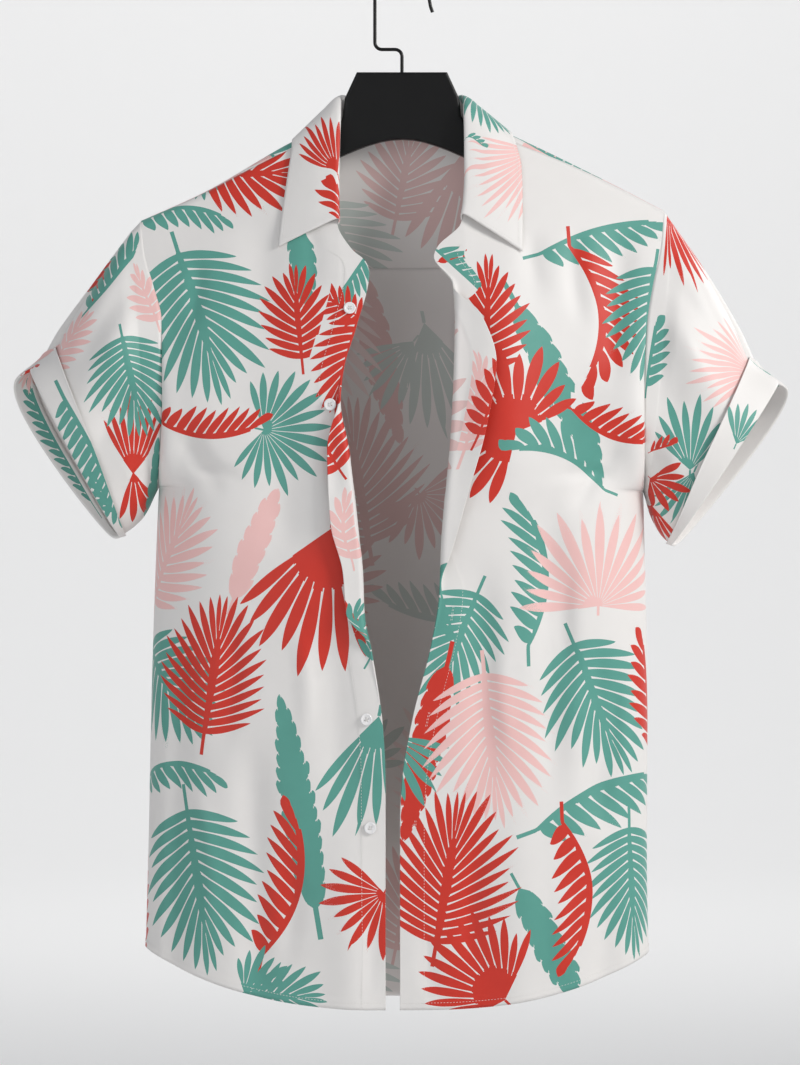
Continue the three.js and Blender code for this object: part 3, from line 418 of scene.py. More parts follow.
def sew(name, points, flat, flip=False, ring=False, thick=None, wall=CLOTH):
    turned[name] = flip
    rows, columns = points.shape[0] - 1, points.shape[1] - 1
    bm = bmesh.new()
    uv = bm.loops.layers.uv.new("cloth")
    bmesh.ops.create_grid(bm, x_segments=columns, y_segments=rows, size=0.5)
    weights = bm.verts.layers.deform.verify()
    bm.verts.index_update()
    place = {}
    for vert in bm.verts:
        j = round((vert.co.x + 0.5) * columns)
        i = round((0.5 - vert.co.y) * rows)
        place[vert.index] = (i, j)
    for face in bm.faces:
        for loop in face.loops:
            loop[uv].uv = flat[place[loop.vert.index]] * MM
    for vert in bm.verts:
        vert.co = Vector(points[place[vert.index]] * MM)
        vert[weights][0] = 1.0 if thick is None else float(thick[place[vert.index]])
    if ring:
        ends = [v for v in bm.verts if place[v.index][1] in (0, columns)]
        bmesh.ops.remove_doubles(bm, verts=ends, dist=1e-6)
    if flip:
        bmesh.ops.reverse_faces(bm, faces=bm.faces[:])
    piece = stand(f"cloth_{name}", mesh_from(bm, name))
    sheet = len(piece.data.polygons)
    piece.vertex_groups.new(name="thickness")
    shell = piece.modifiers.new("wall", "SOLIDIFY")
    shell.thickness = wall * MM
    shell.offset = 0
    shell.vertex_group = "thickness"
    finished = finished_mesh(piece)
    piece.modifiers.clear()
    piece.data = finished
    finished.name = name
    finished.shade_smooth()
    wrong = np.zeros(len(finished.polygons), dtype=np.float32)
    wrong[sheet:] = 1
    finished.attributes.new("wrong_side", "FLOAT", "FACE").data.foreach_set("value", wrong)
    return piece

# %% [markdown]
# ## The fronts
#
# Each front is one grid from the side seam to the free edge. Its last columns lie at fixed
# distances from that edge, so the facing, the stitching and the buttonholes can be measured
# from it as a tailor does. Where the cloth beyond the visible fold is wide, it rolls
# outward and lies back on the front with its wrong side showing.

# %% Build the two fronts
EDGE_STEPS = np.concatenate([[0, 0.5, 1.2, 2.2, 3.4], np.arange(5, 62, 1.9)])[::-1]
MAIN_COLUMNS = 56
FACING_WIDTH = 22
UPPER_ROWS, LOWER_ROWS = 104, 142
ROLL_LIFT = {"right": 2.5, "left": 3.5}


def front_points(side):
    top_inner = front_seam(side, NECK_X) - SEAM_GAP / 2
    tip = SHOULDER[side][-1]["x"]
    top_edge = front_seam(side, tip) - SEAM_GAP / 2
    i = np.arange(UPPER_ROWS + LOWER_ROWS + 1)
    upper = np.clip(i / UPPER_ROWS, 0, 1)
    progress = np.clip((i - UPPER_ROWS) / LOWER_ROWS, 0, 1)
    inner = mix(mix(top_inner, -455, upper), HEM_CENTRE, progress)
    edge = mix(top_edge, UNDERARM[side], (1 - np.cos(math.pi * upper)) / 2)
    edge = mix(edge, HEM_CENTRE, progress)
    rolled, radius = edge_rolled[side](inner), ROLL_RADIUS[side]
    radius = radius * (1 + 0.12 * np.sin(inner / 37 + SIGN[side]))
    turn = edge_x[side](inner) + radius * np.sin(np.minimum(rolled / radius, math.pi / 2))
    side_edge = side_x[side](edge + hem_shift(side_x[side](edge), progress))
    reach = turn + EDGE_STEPS[0] - rolled
    j = np.arange(MAIN_COLUMNS)
    share = 1 - np.cos(math.pi * j / (2 * MAIN_COLUMNS))
    x = np.concatenate(
        [mix(side_edge[:, None], reach[:, None], share), turn[:, None] + EDGE_STEPS - rolled[:, None]], axis=1
    )
    past = np.maximum(turn[:, None] - x, 0)
    x = np.maximum(x, turn[:, None])
    part = np.clip((side_edge[:, None] - x) / (side_edge - turn)[:, None], 0, 1)
    on_seam = front_seam(side, x) - SEAM_GAP / 2
    lift = (on_seam - mix(edge[0], inner[0], part)) * (1 - upper[:, None])
    z = mix(edge[:, None], inner[:, None], part) + lift + hem_shift(x, progress[:, None])
    depth = front_depth(side, x, z)
    seam_z = z[:, 0]
    depth[:, 0] = np.maximum(front_depth(side, side_x[side](seam_z), seam_z), SEAM_GAP / 2 + 0.02)
    curl = math.pi * radius[:, None]
    angle = np.minimum(past / radius[:, None], math.pi)
    back = np.maximum(past - curl, 0)
    out = turn[:, None] + back
    eased = mix(depth, front_depth(side, np.where(back > 0, out, x), z), smooth(back / 8))
    wave = 1 + 0.25 * np.sin(inner / 21 + 2 * SIGN[side])[:, None]
    lifted = ROLL_LIFT[side] * smooth(back / 26) * wave
    x = np.where(past > 0, turn[:, None] - radius[:, None] * np.sin(angle) + back, x)
    y = -eased - np.where(past > 0, radius[:, None] * (1 - np.cos(angle)) + lifted, 0)
    return np.stack([SIGN[side] * x, y, z], axis=2), z[:, -1]


def edge_distance(points):
    total = arc(points, 1)
    return total[:, -1:] - total


THIN, FOLDED, WALL, HEM_TURNING = 0.45, 1.0, 1.5, 7
sewn = {}
flats = {}
grids = {}
for side in SIDES:
    points, free_z = front_points(side)
    to_edge = edge_distance(points)
    to_hem = points[:, :, 2] - points[-1:, :, 2]
    doubled = (to_edge < FACING_WIDTH) & (free_z[:, None] < NECK_CORNER[side] + 1) | (to_hem < HEM_TURNING)
    name = f"front_{side}"
    grids[name] = points
    flats[name] = flat_map(points, MAIN_COLUMNS, -SIGN[side])
    thick = np.where(doubled, FOLDED, THIN)
    sewn[name] = sew(name, points, flats[name], flip=side == "left", thick=thick, wall=WALL)
    print(name, points.shape, "faces", len(sewn[name].data.polygons))

# %% [markdown]
# ## The back and the yoke
#
# The back is one wide panel with a curved hem. The yoke is the piece over the shoulders: it
# reaches a little way forward of the top line, goes round the neck and is sewn to the back
# below. Its place is worked out as a distance round the cloth from the shoulder's top line,
# because there the cloth turns over and no height could number it.

# %% Build the back and the yoke
BACK_COLUMNS, BACK_UPPER = 128, 66
YOKE_SHOULDER, YOKE_NECK, YOKE_ROWS = 62, 30, 60
NECKLINE = table("k x reach", (0, 57.2, 13.7), (1, 57.0, 6), (2, 57.0, 0), (3, 54, -7),
                 (4, 43, -13), (5, 22, -18), (6, 0, -19))


def back_points():
    i = np.arange(BACK_UPPER + LOWER_ROWS + 1)[:, None]
    across = np.sin(math.pi / 2 * (2 * np.arange(BACK_COLUMNS + 1) / BACK_COLUMNS - 1))[None, :]
    upper = np.clip(i / BACK_UPPER, 0, 1)
    progress = np.clip((i - BACK_UPPER) / LOWER_ROWS, 0, 1)
    level = mix(upper, np.sin(math.pi / 2 * upper), np.abs(across))
    underarm = np.where(across < 0, UNDERARM["right"], UNDERARM["left"])
    z = mix(mix(BACK_SEAM - SEAM_GAP / 2, underarm, level), HEM_CENTRE, progress)
    half = lambda height: np.where(across < 0, side_x["right"](height), side_x["left"](height))
    z = z + hem_shift(across * half(z), progress)
    x = across * half(z)
    depth = np.maximum(back_depth(x, z), SEAM_GAP / 2 + 0.02)
    return np.stack([x, depth, z], axis=2)


def yoke_point(x, reach):
    away = np.abs(x)
    top = np.where(x < 0, ridge("right", away), ridge("left", away))
    z = top - drop_after(np.abs(reach))
    near = wedge(drop_after(np.abs(reach)))
    behind = mix(near, back_depth(x, z), smooth(-reach / 12))
    return np.stack([x, np.where(reach >= 0, -near, behind), z], axis=-1)


def yoke_points():
    neck_x, neck_reach = curve(NECKLINE, "k", "x"), curve(NECKLINE, "k", "reach")
    halves = []
    for side in SIDES:
        arm = SHOULDER[side][-1]["x"]
        part = np.linspace(0, 1, YOKE_SHOULDER)
        k = np.linspace(0, 6, YOKE_NECK + 1)[1:]
        top_x = np.concatenate([mix(arm, NECK_X, part), neck_x(k)])
        reach = np.concatenate([forward_reach(mix(arm, NECK_X, part)) - SEAM_GAP, neck_reach(k)])
        low_x = np.concatenate([mix(float(side_x[side](BACK_SEAM)), 62, part), mix(62, 0, k / 6)])
        low_top = ridge(side, low_x)
        low_reach = -distance_after(low_top - (BACK_SEAM + SEAM_GAP / 2))
        b = np.linspace(0, 1, YOKE_ROWS + 1)[:, None]
        x = SIGN[side] * mix(top_x, low_x, b)
        where = mix(reach, low_reach, b)
        points = yoke_point(x, where)
        x[:, 0] = SIGN[side] * side_x[side](points[:, 0, 2])
        halves.append(yoke_point(x, where))
    right, left = halves
    return np.concatenate([right, left[:, -2::-1]], axis=1)


grids["back"] = back_points()
flats["back"] = flat_map(grids["back"], BACK_COLUMNS // 2)
doubled = grids["back"][:, :, 2] - grids["back"][-1:, :, 2] < HEM_TURNING
thick = np.where(doubled, FOLDED, THIN)
sewn["back"] = sew("back", grids["back"], flats["back"], flip=True, thick=thick, wall=WALL)

grids["yoke"] = yoke_points()
down_yoke = arc(grids["yoke"], 0)
flats["yoke"] = np.stack([grids["yoke"][:, :, 0], BACK_SEAM + down_yoke[-1:] - down_yoke], axis=2)
sewn["yoke"] = sew("yoke", grids["yoke"], flats["yoke"], flip=True)
print("back", grids["back"].shape, "yoke", grids["yoke"].shape)

# %% [markdown]
# ## Sleeves and cuffs
#
# A sleeve starts as the armhole, a closed loop up the front edge, over the yoke and down
# the back, and turns into an oval that hangs out and down. The cuff is the sleeve's end
# turned up on the outside: it goes from inside the mouth round the lower edge and up.

# %% Build the sleeves and their cuffs
SLEEVE = {
    "right": table("along topX topZ lowX lowZ front back keep",
                   (0.16, 233, -233, 214, -462, 46, 41, 0.75), (0.38, 246, -252, 219, -473, 49, 44, 0.35),
                   (0.60, 262, -277, 224, -481, 49, 45, 0.10), (0.82, 285, -312, 230, -487, 46, 44, 0),
                   (1.00, 299, -337, 235, -491, 44, 43, 0), (1.20, 319, -353, 243, -496, 43, 42, 0)),
    "left": table("along topX topZ lowX lowZ front back keep",
                  (0.16, 233, -226, 211, -466, 46, 41, 0.75), (0.38, 247, -247, 214, -477, 49, 44, 0.35),
                  (0.60, 264, -275, 218, -486, 50, 45, 0.10), (0.82, 286, -316, 222, -493, 47, 44, 0),
                  (1.00, 300, -346, 226, -498, 45, 43, 0), (1.20, 323, -364, 232, -503, 44, 42, 0)),
}
SLEEVE_FOLDS = {
    "right": table("angle drift width depth",
                   (1.15, 0.55, 0.28, -7), (1.85, 0.35, 0.24, 5), (2.45, -0.30, 0.22, -5),
                   (0.62, 0.20, 0.14, -3), (1.55, -0.10, 0.10, -1.8), (4.05, 0.40, 0.30, -6),
                   (5.00, -0.35, 0.26, -5), (3.40, 0.10, 0.14, 2.4), (4.60, 0.00, 0.12, 2)),
    "left": table("angle drift width depth",
                  (1.15, 0.55, 0.28, -7), (1.85, 0.35, 0.24, 5), (2.45, -0.30, 0.22, -5),
                  (0.70, 0.25, 0.13, -3), (2.05, 0.15, 0.10, -2), (4.05, 0.40, 0.30, -6),
                  (5.00, -0.35, 0.26, -5), (3.50, 0.10, 0.13, 2.4), (4.50, 0.10, 0.12, 2)),
}
AROUND, SLEEVE_ROWS = 176, 62
SLEEVE_CENTRE_Y, CUFF_LOW_WIDTH = -4, 0.45
SLEEVE_BACK_REACH = {"right": 31, "left": 22}
SLEEVE_FOLD_GAIN = 1.35
CUFF_PROFILE = table("along swell", (1.04, -1.6), (1.14, -1.5), (1.2, -1.3), (1.213, -0.5), (1.219, 0.5),
                     (1.217, 1.6), (1.208, 2.3), (1.17, 2.8), (1.12, 3.3), (1.06, 3.9), (1.0, 4.4),
                     (0.985, 4.7))


def armhole(side):
    rows = slice(0, UPPER_ROWS + 1)
    end = 0 if side == "right" else -1
    front = grids[f"front_{side}"][rows, 0][::-1].copy()
    front[0, 1] = 0
    loop = np.concatenate([front, grids["yoke"][:, end], grids["back"][: BACK_UPPER + 1, end]])
    loop[-1, 1] = 0
    steps = arc(loop, 0)
    at = np.linspace(0, steps[-1], AROUND + 1)
    even = np.stack([np.interp(at, steps, loop[:, k]) for k in range(3)], axis=1)
    angles = 2 * math.pi * np.arange(AROUND + 1) / AROUND
    low = np.exp(-((np.minimum(angles, 2 * math.pi - angles) / 0.25) ** 2))
    even[:, 0] += SIGN[side] * mix(SEAM_GAP, CLOTH / 2 + SEAM_GAP, low)
    return even, angles


def sleeve_ring(side, loop, angles, along, swell=0, folds=1):
    row = {key: float(curve(SLEEVE[side], "along", key)(along)) for key in SLEEVE[side][0] if key != "along"}
    beyond = max(along - 1.2, 0)
    low, high = loop[0, 2], loop[:, 2].max()
    half_x, half_z = (row["topX"] - row["lowX"]) / 2, (row["topZ"] - row["lowZ"]) / 2
    centre_x, centre_z = (row["topX"] + row["lowX"]) / 2, (row["topZ"] + row["lowZ"]) / 2
    centre_x, centre_z = centre_x + 70 * beyond, centre_z - 55 * beyond
    fold = 0
    for row_of_fold in SLEEVE_FOLDS[side]:
        off = angles - row_of_fold["angle"] - row_of_fold["drift"] * along
        fold = fold + row_of_fold["depth"] * np.exp(-((off / row_of_fold["width"]) ** 2))
    fold = fold * SLEEVE_FOLD_GAIN * math.sin(math.pi * min(along, 1)) * folds
    own = 2 * (loop[:, 2] - low) / (high - low) - 1
    height = mix(-np.cos(angles), own, row["keep"]) * (1 + swell / math.hypot(half_x, half_z) / 2)
    depth = np.where(angles < math.pi, row["front"], row["back"]) + swell + fold
    topness = (1 - np.cos(angles)) / 2
    behind = np.sqrt(np.maximum(-np.sin(angles), 0)) * SLEEVE_BACK_REACH[side]
    behind = behind * mix(0.4, 1, topness) * float(smooth(along))
    x = SIGN[side] * (centre_x + height * half_x + behind)
    y = mix(SLEEVE_CENTRE_Y - depth * np.sin(angles), loop[:, 1], row["keep"])
    z = centre_z + height * half_z - behind * 0.4
    ring = np.stack([x, y, z], axis=1)
    if along < 0.16:
        start = math.sin(math.pi / 2 * along / 0.16)
        ring = mix(loop, ring, start)
    ring[-1] = ring[0]
    return ring


CUFF_ROWS = 34
cuff_of = {key: curve([dict(k=k, v=row[key]) for k, row in enumerate(CUFF_PROFILE)], "k", "v")
           for key in ("along", "swell")}
for side in SIDES:
    loop, angles = armhole(side)
    alongs = np.concatenate([np.linspace(0, 0.16, 9)[:-1], np.linspace(0.16, 1.2, SLEEVE_ROWS - 8)])
    name = f"sleeve_{side}"
    grids[name] = np.stack([sleeve_ring(side, loop, angles, a) for a in alongs])
    flats[name] = limb_map(grids[name])
    sewn[name] = sew(name, grids[name], flats[name], flip=side == "right", ring=True)
    name = f"cuff_{side}"
    stops = np.linspace(0, len(CUFF_PROFILE) - 1, CUFF_ROWS)
    steps = [(float(cuff_of["along"](k)), float(cuff_of["swell"](k))) for k in stops]
    full = np.stack([sleeve_ring(side, loop, angles, a, swell, 0) for a, swell in steps])
    narrow = np.stack([sleeve_ring(side, loop, angles, mix(1.2, a, CUFF_LOW_WIDTH), swell, 0)
                       for a, swell in steps])
    wide = smooth(np.minimum(angles, 2 * math.pi - angles) / 1.5)[None, :, None]
    grids[name] = mix(narrow, full, wide)
    flats[name] = limb_map(grids[name])
    sewn[name] = sew(name, grids[name], flats[name], flip=side == "left", ring=True)
    print(name, grids[name].shape)

# %% [markdown]
# ## The collar
#
# The collar is sewn round the neckline, stands up a little, rolls over and lies down as a
# leaf with two points in front. Stations round the neck give its neck seam, its roll line
# and its outer edge. A smooth curve goes round through the stations, and another goes over
# the roll, so the two make one grid.

# %% Build the collar
COLLAR = {
    "right": table("neckX neckZ rollX rollY rollZ edgeX edgeZ",
                   (55.3, -230, 55.0, -34, -226, 106.3, -249), (56.1, -214, 55.6, -31, -209, 104.4, -231),
                   (56.6, -192, 55.6, -27, -184, 100.6, -203), (56.8, -168, 55.2, -21, -155, 97.0, -178),
                   (56.9, -151, 54.6, -12, -133, 95.0, -164)),
    "left": table("neckX neckZ rollX rollY rollZ edgeX edgeZ",
                  (51.4, -226.5, 52.0, -34, -222, 102.9, -253), (54.2, -214, 54.0, -31, -209, 103.4, -233),
                  (56.1, -192, 55.4, -27, -184, 103.4, -203), (56.8, -168, 55.4, -21, -153, 102.6, -178),
                  (56.9, -149, 55.0, -12, -130, 99.0, -162)),
}
COLLAR_BACK = table("x reach rollX rollY rollZ edgeX edgeReach",
                    (57.0, 6, 54.6, -5, -122, 94.5, 5), (57.0, 0, 54.0, 2, -118, 94.0, -3),
                    (54.0, -7, 51.5, 11, -116, 87.0, -13), (43.0, -13, 41.0, 20, -117, 67.0, -23),
                    (22.0, -18, 20.0, 27, -119, 34.0, -33))
COLLAR_MIDDLE = dict(x=0, reach=-19, rollX=0, rollY=29, rollZ=-120, edgeX=0, edgeReach=-37)
LEAF_CLEARANCE, COLLAR_ROLL = 2.6, 1.9
COLLAR_AROUND, COLLAR_ROWS, COLLAR_THICK = 190, 34, 0.8


def collar_station(sign, row):
    slant = min(max(row["edgeReach"] / CAP_RADIUS, -CAP_ANGLE), CAP_ANGLE)
    edge = yoke_point(np.float64(sign * row["edgeX"]), np.float64(row["edgeReach"]))
    edge = edge + LEAF_CLEARANCE * np.array([0, -math.sin(slant), math.cos(slant)])
    neck = yoke_point(np.float64(sign * row["x"]), np.float64(row["reach"]))
    return neck, np.array([sign * row["rollX"], row["rollY"], row["rollZ"]], float), edge


def collar_points():
    halves = {}
    for side in SIDES:
        sign = SIGN[side]
        halves[side] = []
        for row in COLLAR[side]:
            neck_y = -float(front_depth(side, row["neckX"], row["neckZ"]))
            edge_y = -float(front_depth(side, row["edgeX"], row["edgeZ"])) - LEAF_CLEARANCE
            halves[side].append((
                np.array([sign * row["neckX"], neck_y, row["neckZ"]]),
                np.array([sign * row["rollX"], min(row["rollY"], neck_y - 3.5), row["rollZ"]]),
                np.array([sign * row["edgeX"], edge_y, row["edgeZ"]]),
            ))
        halves[side] += [collar_station(sign, row) for row in COLLAR_BACK]
    stations = halves["right"] + [collar_station(1, COLLAR_MIDDLE)] + halves["left"][::-1]
    unit = lambda v: v / np.linalg.norm(v)
    lines = []
    crown = np.array([0, -1.0, 0.4])
    for neck, roll, edge in stations:
        up = unit(unit(roll - neck) + unit(roll - edge))
        over = unit((edge - roll) - up * np.dot(edge - roll, up))
        seam = neck + unit(roll - neck) * 0.9 - over * 0.9
        inner, outer = roll - over * COLLAR_ROLL, roll + over * COLLAR_ROLL
        top = roll + up * COLLAR_ROLL * 0.8
        lines.append([seam, mix(seam, inner, 0.5), inner, top, outer,
                      mix(outer, edge, 0.3) + crown * 1.2, mix(outer, edge, 0.68) + crown * 1.0, edge])
    return np.array(lines)


def smooth_resample(points, count, axis):
    points = np.moveaxis(points, axis, 0)
    places = arc(points, 0).mean(axis=1)
    at = np.linspace(0, places[-1], count)
    out = np.empty((count,) + points.shape[1:])
    for k in range(points.shape[1]):
        for axis3 in range(3):
            rows = [dict(p=p, v=v) for p, v in zip(places, points[:, k, axis3])]
            out[:, k, axis3] = curve(rows, "p", "v")(at)
    return np.moveaxis(out, 0, axis)


collar = smooth_resample(collar_points(), COLLAR_AROUND, 0)
collar = smooth_resample(collar, COLLAR_ROWS, 1)
grids["collar"] = np.swapaxes(collar, 0, 1)
flats["collar"] = tube_map(grids["collar"])
thick = np.full(grids["collar"].shape[:2], COLLAR_THICK)
sewn["collar"] = sew("collar", grids["collar"], flats["collar"], flip=True, thick=thick, wall=WALL)
print("collar", grids["collar"].shape)

# %% [markdown]
# ## The leaf print
#
# The cloth is printed with loose palm leaves in teal, red and pale pink. Every leaf is one
# row of a table: its kind, its ink, where its stalk starts and where its tip is, how many
# leaflets it has, how far they reach, how much the stalk bends, and on which side of the
# stalk they grow. The places are read in the photograph's pixels and then looked up on the
# flat cloth. Each face stores the leaves that cross it as coordinates along and across the
# leaf, and the shader draws the leaflets from them, so their edges stay sharp.
# Painting an image would fix the sharpness and need a file. Four kinds are enough: a frond
# with leaflets on both sides, half a frond, a fan, and a broad leaf with a notched edge.

# %% The four kinds of leaf and the printed leaves
KINDS = {
    "frond": dict(lean=0.16, sweep=0.55, stalk=0.66, join=0.05, half=0),
    "half": dict(lean=0.45, sweep=0.15, stalk=0.86, join=0.10, half=2),
    "fan": dict(lean=0, sweep=0, stalk=-1, join=0.34, half=0),
    "broad": dict(lean=0.90, sweep=0.20, stalk=0.95, join=0.80, half=0),
}
INKS = {"teal": 1, "red": 2, "pink": 3}
COLUMNS = "leaf ink x y tipX tipY leaflets reach bend grow join only"
LEAVES = {
    "front_right": table(
        COLUMNS,
        ("half", "teal", 141, 222, 234, 223, 8, 0.33, 0.17, -1, 0),
        ("frond", "pink", 154, 604, 199, 487, 10, 0.50, 0, 0, 0),
        ("broad", "pink", 233, 600, 275, 494, 7, 0.22, 0, 0, 0),
        ("frond", "teal", 178, 252, 225, 398, 11, 0.58, 0, 0, 0),
        ("fan", "teal", 200, 168, 200, 208, 6, 50, 0, 0, 0),
        ("frond", "red", 204, 174, 310, 172, 8, 0.55, 0, 0, 0),
        ("fan", "teal", 264, 430, 340, 446, 17, 125, 0, 0, 0.08),
        ("half", "red", 158, 419, 267, 422, 10, 0.36, -0.15, 1, 0),
        ("half", "teal", 372, 246, 338, 296, 7, 0.52, 0, 1, 0, "band"),
        ("broad", "teal", 298, 225, 306, 296, 5, 0.34, 0, 0, 0, "main"),
        ("frond", "red", 302, 360, 292, 258, 9, 0.50, 0, 0, 0, "main"),
        ("frond", "red", 360, 318, 306, 284, 7, 0.42, 0, 0, 0, "band"),
        ("frond", "red", 358, 318, 330, 424, 9, 0.46, 0, 0, 0, "band"),
        ("fan", "red", 332, 528, 308, 690, 10, 47, 0, 0, 0.42),
        ("frond", "teal", 150, 643, 208, 738, 9, 0.60, 0, 0, 0),
        ("frond", "red", 204, 735, 224, 594, 12, 0.56, 0, 0, 0),
        ("broad", "teal", 316, 910, 281, 700, 14, 0.14, 0, 0, 0),
        ("half", "red", 262, 955, 292, 805, 10, 0.36, -0.16, 1, 0),
        ("half", "teal", 145, 781, 226, 780, 8, 0.36, 0.17, -1, 0),
        ("frond", "teal", 187, 808, 213, 978, 11, 0.50, 0, 0, 0),
        ("half", "red", 136, 958, 140, 828, 8, 0.15, 0, -1, 0),
        ("frond", "teal", 243, 995, 327, 998, 8, 0.60, 0, 0, 0),
        ("fan", "teal", 244, 992, 285, 958, 8, 70, 0, 0, 0.1),
        ("fan", "teal", 379, 716, 352, 850, 7, 34, 0, 0, 0.3),
        ("fan", "red", 384, 893, 345, 955, 13, 105, 0, 0, 0.12),
    ),
    "front_left": table(
        COLUMNS,
        ("half", "teal", 540, 254, 668, 222, 9, 0.34, 0.08, -1, 0),
        ("broad", "teal", 516, 305, 600, 474, 10, 0.15, 0, 0, 0),
        ("half", "red", 569, 246, 580, 388, 10, 0.42, 0.18, 1, 0),
        ("frond", "teal", 655, 266, 648, 388, 9, 0.52, 0, 0, 0),
        ("half", "red", 572, 409, 654, 442, 8, 0.45, -0.14, 1, 0),
        ("frond", "red", 486, 372, 489, 244, 10, 0.44, 0, 0, 0, "main"),
        ("half", "red", 462, 262, 488, 250, 4, 0.60, 0, 1, 0, "band"),
        ("broad", "red", 438, 262, 456, 256, 4, 0.40, 0, 0, 0, "band"),
        ("half", "teal", 436, 250, 490, 300, 8, 0.46, 0, 1, 0, "band"),
        ("fan", "red", 516, 432, 442, 366, 16, 118, 0, 0, 0.42),
        ("half", "teal", 604, 490, 502, 452, 8, 0.45, -0.15, -1, 0),
        ("half", "teal", 528, 646, 521, 500, 10, 0.36, -0.17, 1, 0),
        ("fan", "pink", 598, 606, 600, 496, 15, 98, 0, 0, 0.06),
        ("frond", "teal", 478, 592, 428, 708, 10, 0.52, 0, 0, 0),
        ("broad", "red", 447, 665, 405, 834, 10, 0.17, 0, 0, 0),
        ("fan", "teal", 390, 735, 442, 800, 7, 45, 0, 0, 0.25),
        ("frond", "pink", 484, 672, 500, 828, 12, 0.56, 0, 0, 0),
        ("frond", "teal", 573, 642, 628, 774, 10, 0.55, 0, 0, 0),
        ("half", "red", 655, 748, 641, 628, 8, 0.36, 0, 1, 0),
        ("half", "teal", 537, 830, 654, 774, 9, 0.38, 0.12, -1, 0),
        ("frond", "teal", 629, 826, 637, 962, 11, 0.50, 0, 0, 0),
        ("broad", "teal", 519, 888, 575, 992, 8, 0.25, 0, 0, 0),
        ("half", "red", 562, 822, 568, 968, 10, 0.37, 0.2, -1, 0),
        ("frond", "red", 436, 945, 462, 790, 13, 0.60, 0, 0, 0),
        ("fan", "red", 505, 1000, 432, 930, 14, 72, 0, 0, 0.38),
    ),
    "facing_left": table(
        COLUMNS,
        ("frond", "pink", 464, 452, 458, 330, 9, 0.30, 0, 0, 0),
        ("frond", "red", 478, 436, 492, 332, 7, 0.30, 0, 0, 0),
        ("half", "teal", 440, 640, 452, 560, 5, 0.30, 0, 1, 0),
    ),
    "facing_right": table(
        COLUMNS,
        ("frond", "red", 340, 470, 328, 400, 6, 0.40, 0, 0, 0),
        ("frond", "pink", 352, 560, 350, 480, 6, 0.40, 0, 0, 0),
        ("frond", "teal", 372, 660, 366, 592, 6, 0.40, 0, 0, 0),
    ),
    "sleeve_right": table(
        COLUMNS,
        ("frond", "pink", 157, 322, 133, 252, 6, 0.32, 0, 0, 0),
        ("half", "teal", 88, 310, 139, 243, 8, 0.50, 0, 1, 0),
        ("frond", "pink", 48, 368, 98, 303, 7, 0.42, 0, 0, 0),
        ("fan", "red", 133, 474, 136, 384, 8, 34, 0, 0, 0.3),
        ("fan", "red", 133, 472, 143, 524, 4, 30, 0, 0, 0.2),
        ("frond", "teal", 122, 336, 142, 430, 10, 0.66, 0, 0, 0),
        ("broad", "teal", 160, 520, 158, 440, 6, 0.16, 0, 0, 0),
    ),
    "sleeve_left": table(
        COLUMNS,
        ("fan", "red", 674, 208, 698, 294, 7, 25, 0, 0, 0.3),
        ("half", "teal", 646, 388, 657, 316, 6, 0.36, 0, -1, 0),
        ("fan", "pink", 757, 374, 680, 352, 14, 62, 0, 0, 0.05),
        ("fan", "teal", 690, 470, 692, 390, 8, 50, 0, 0, 0.12),
        ("fan", "teal", 694, 472, 668, 528, 7, 36, 0, 0, 0.1),
        ("half", "red", 650, 452, 676, 444, 4, 0.60, 0, 1, 0),
        ("fan", "red", 650, 478, 690, 500, 6, 70, 0, 0, 0.12),
        ("fan", "red", 652, 505, 668, 550, 5, 34, 0, 0, 0.3),
    ),
    "cuff_right": table(
        COLUMNS,
        ("fan", "pink", 52, 350, 28, 396, 5, 40, 0, 0, 0.6),
        ("half", "red", 24, 372, 40, 364, 3, 0.50, 0, -1, 0),
        ("half", "teal", 64, 398, 128, 528, 13, 0.24, 0.02, -1, 0),
        ("half", "teal", 114, 512, 92, 470, 5, 0.36, 0, 1, 0),
    ),
    "cuff_left": table(
        COLUMNS,
        ("fan", "teal", 736, 444, 756, 398, 6, 44, 0, 0, 0.1),
        ("half", "teal", 752, 360, 784, 374, 4, 0.36, 0, -1, 0),
    ),
    "collar": table(
        COLUMNS,
        ("fan", "red", 338, 174, 302, 122, 8, 42, 0, 0, 0.25),
        ("half", "red", 340, 240, 337, 184, 4, 0.85, 0, 1, 0),
        ("fan", "pink", 542, 146, 462, 206, 14, 46, 0, 0, 0.1),
        ("frond", "teal", 458, 92, 520, 138, 9, 0.42, 0, 0, 0),
        ("half", "teal", 466, 138, 486, 148, 4, 0.50, 0, 1, 0),
    ),
    "yoke": table(
        COLUMNS,
        ("half", "teal", 520, 136, 606, 184, 9, 0.22, 0.05, -1, 0),
        ("frond", "pink", 500, 170, 545, 218, 8, 0.50, 0, 0, 0),
        ("frond", "teal", 290, 128, 240, 152, 6, 0.40, 0, 0, 0),
    ),
}
BACK_SHIFT, BACK_LENGTH = 300, 640
COLLAR_BACK_LEAVES = table("leaf ink x z tipX tipZ leaflets reach bend grow join",
                           ("frond", "teal", -80, -84, -22, -42, 9, 0.5, 0, 0, 0),
                           ("half", "red", 72, -84, 22, -46, 8, 0.42, 0.12, 1, 0),
                           ("fan", "pink", 2, -86, 0, -44, 11, 60, 0, 0, 0))
BACK_LEAVES = table("leaf ink x z tipX tipZ leaflets reach bend grow join",
                    ("frond", "pink", 52, -772, 34, -618, 12, 0.5, 0, 0, 0),
                    ("half", "teal", 84, -566, -26, -548, 9, 0.36, 0.12, -1, 0),
                    ("fan", "teal", -40, -700, -60, -640, 13, 110, 0, 0, 0),
                    ("frond", "red", -6, -860, 14, -760, 10, 0.55, 0, 0, 0))

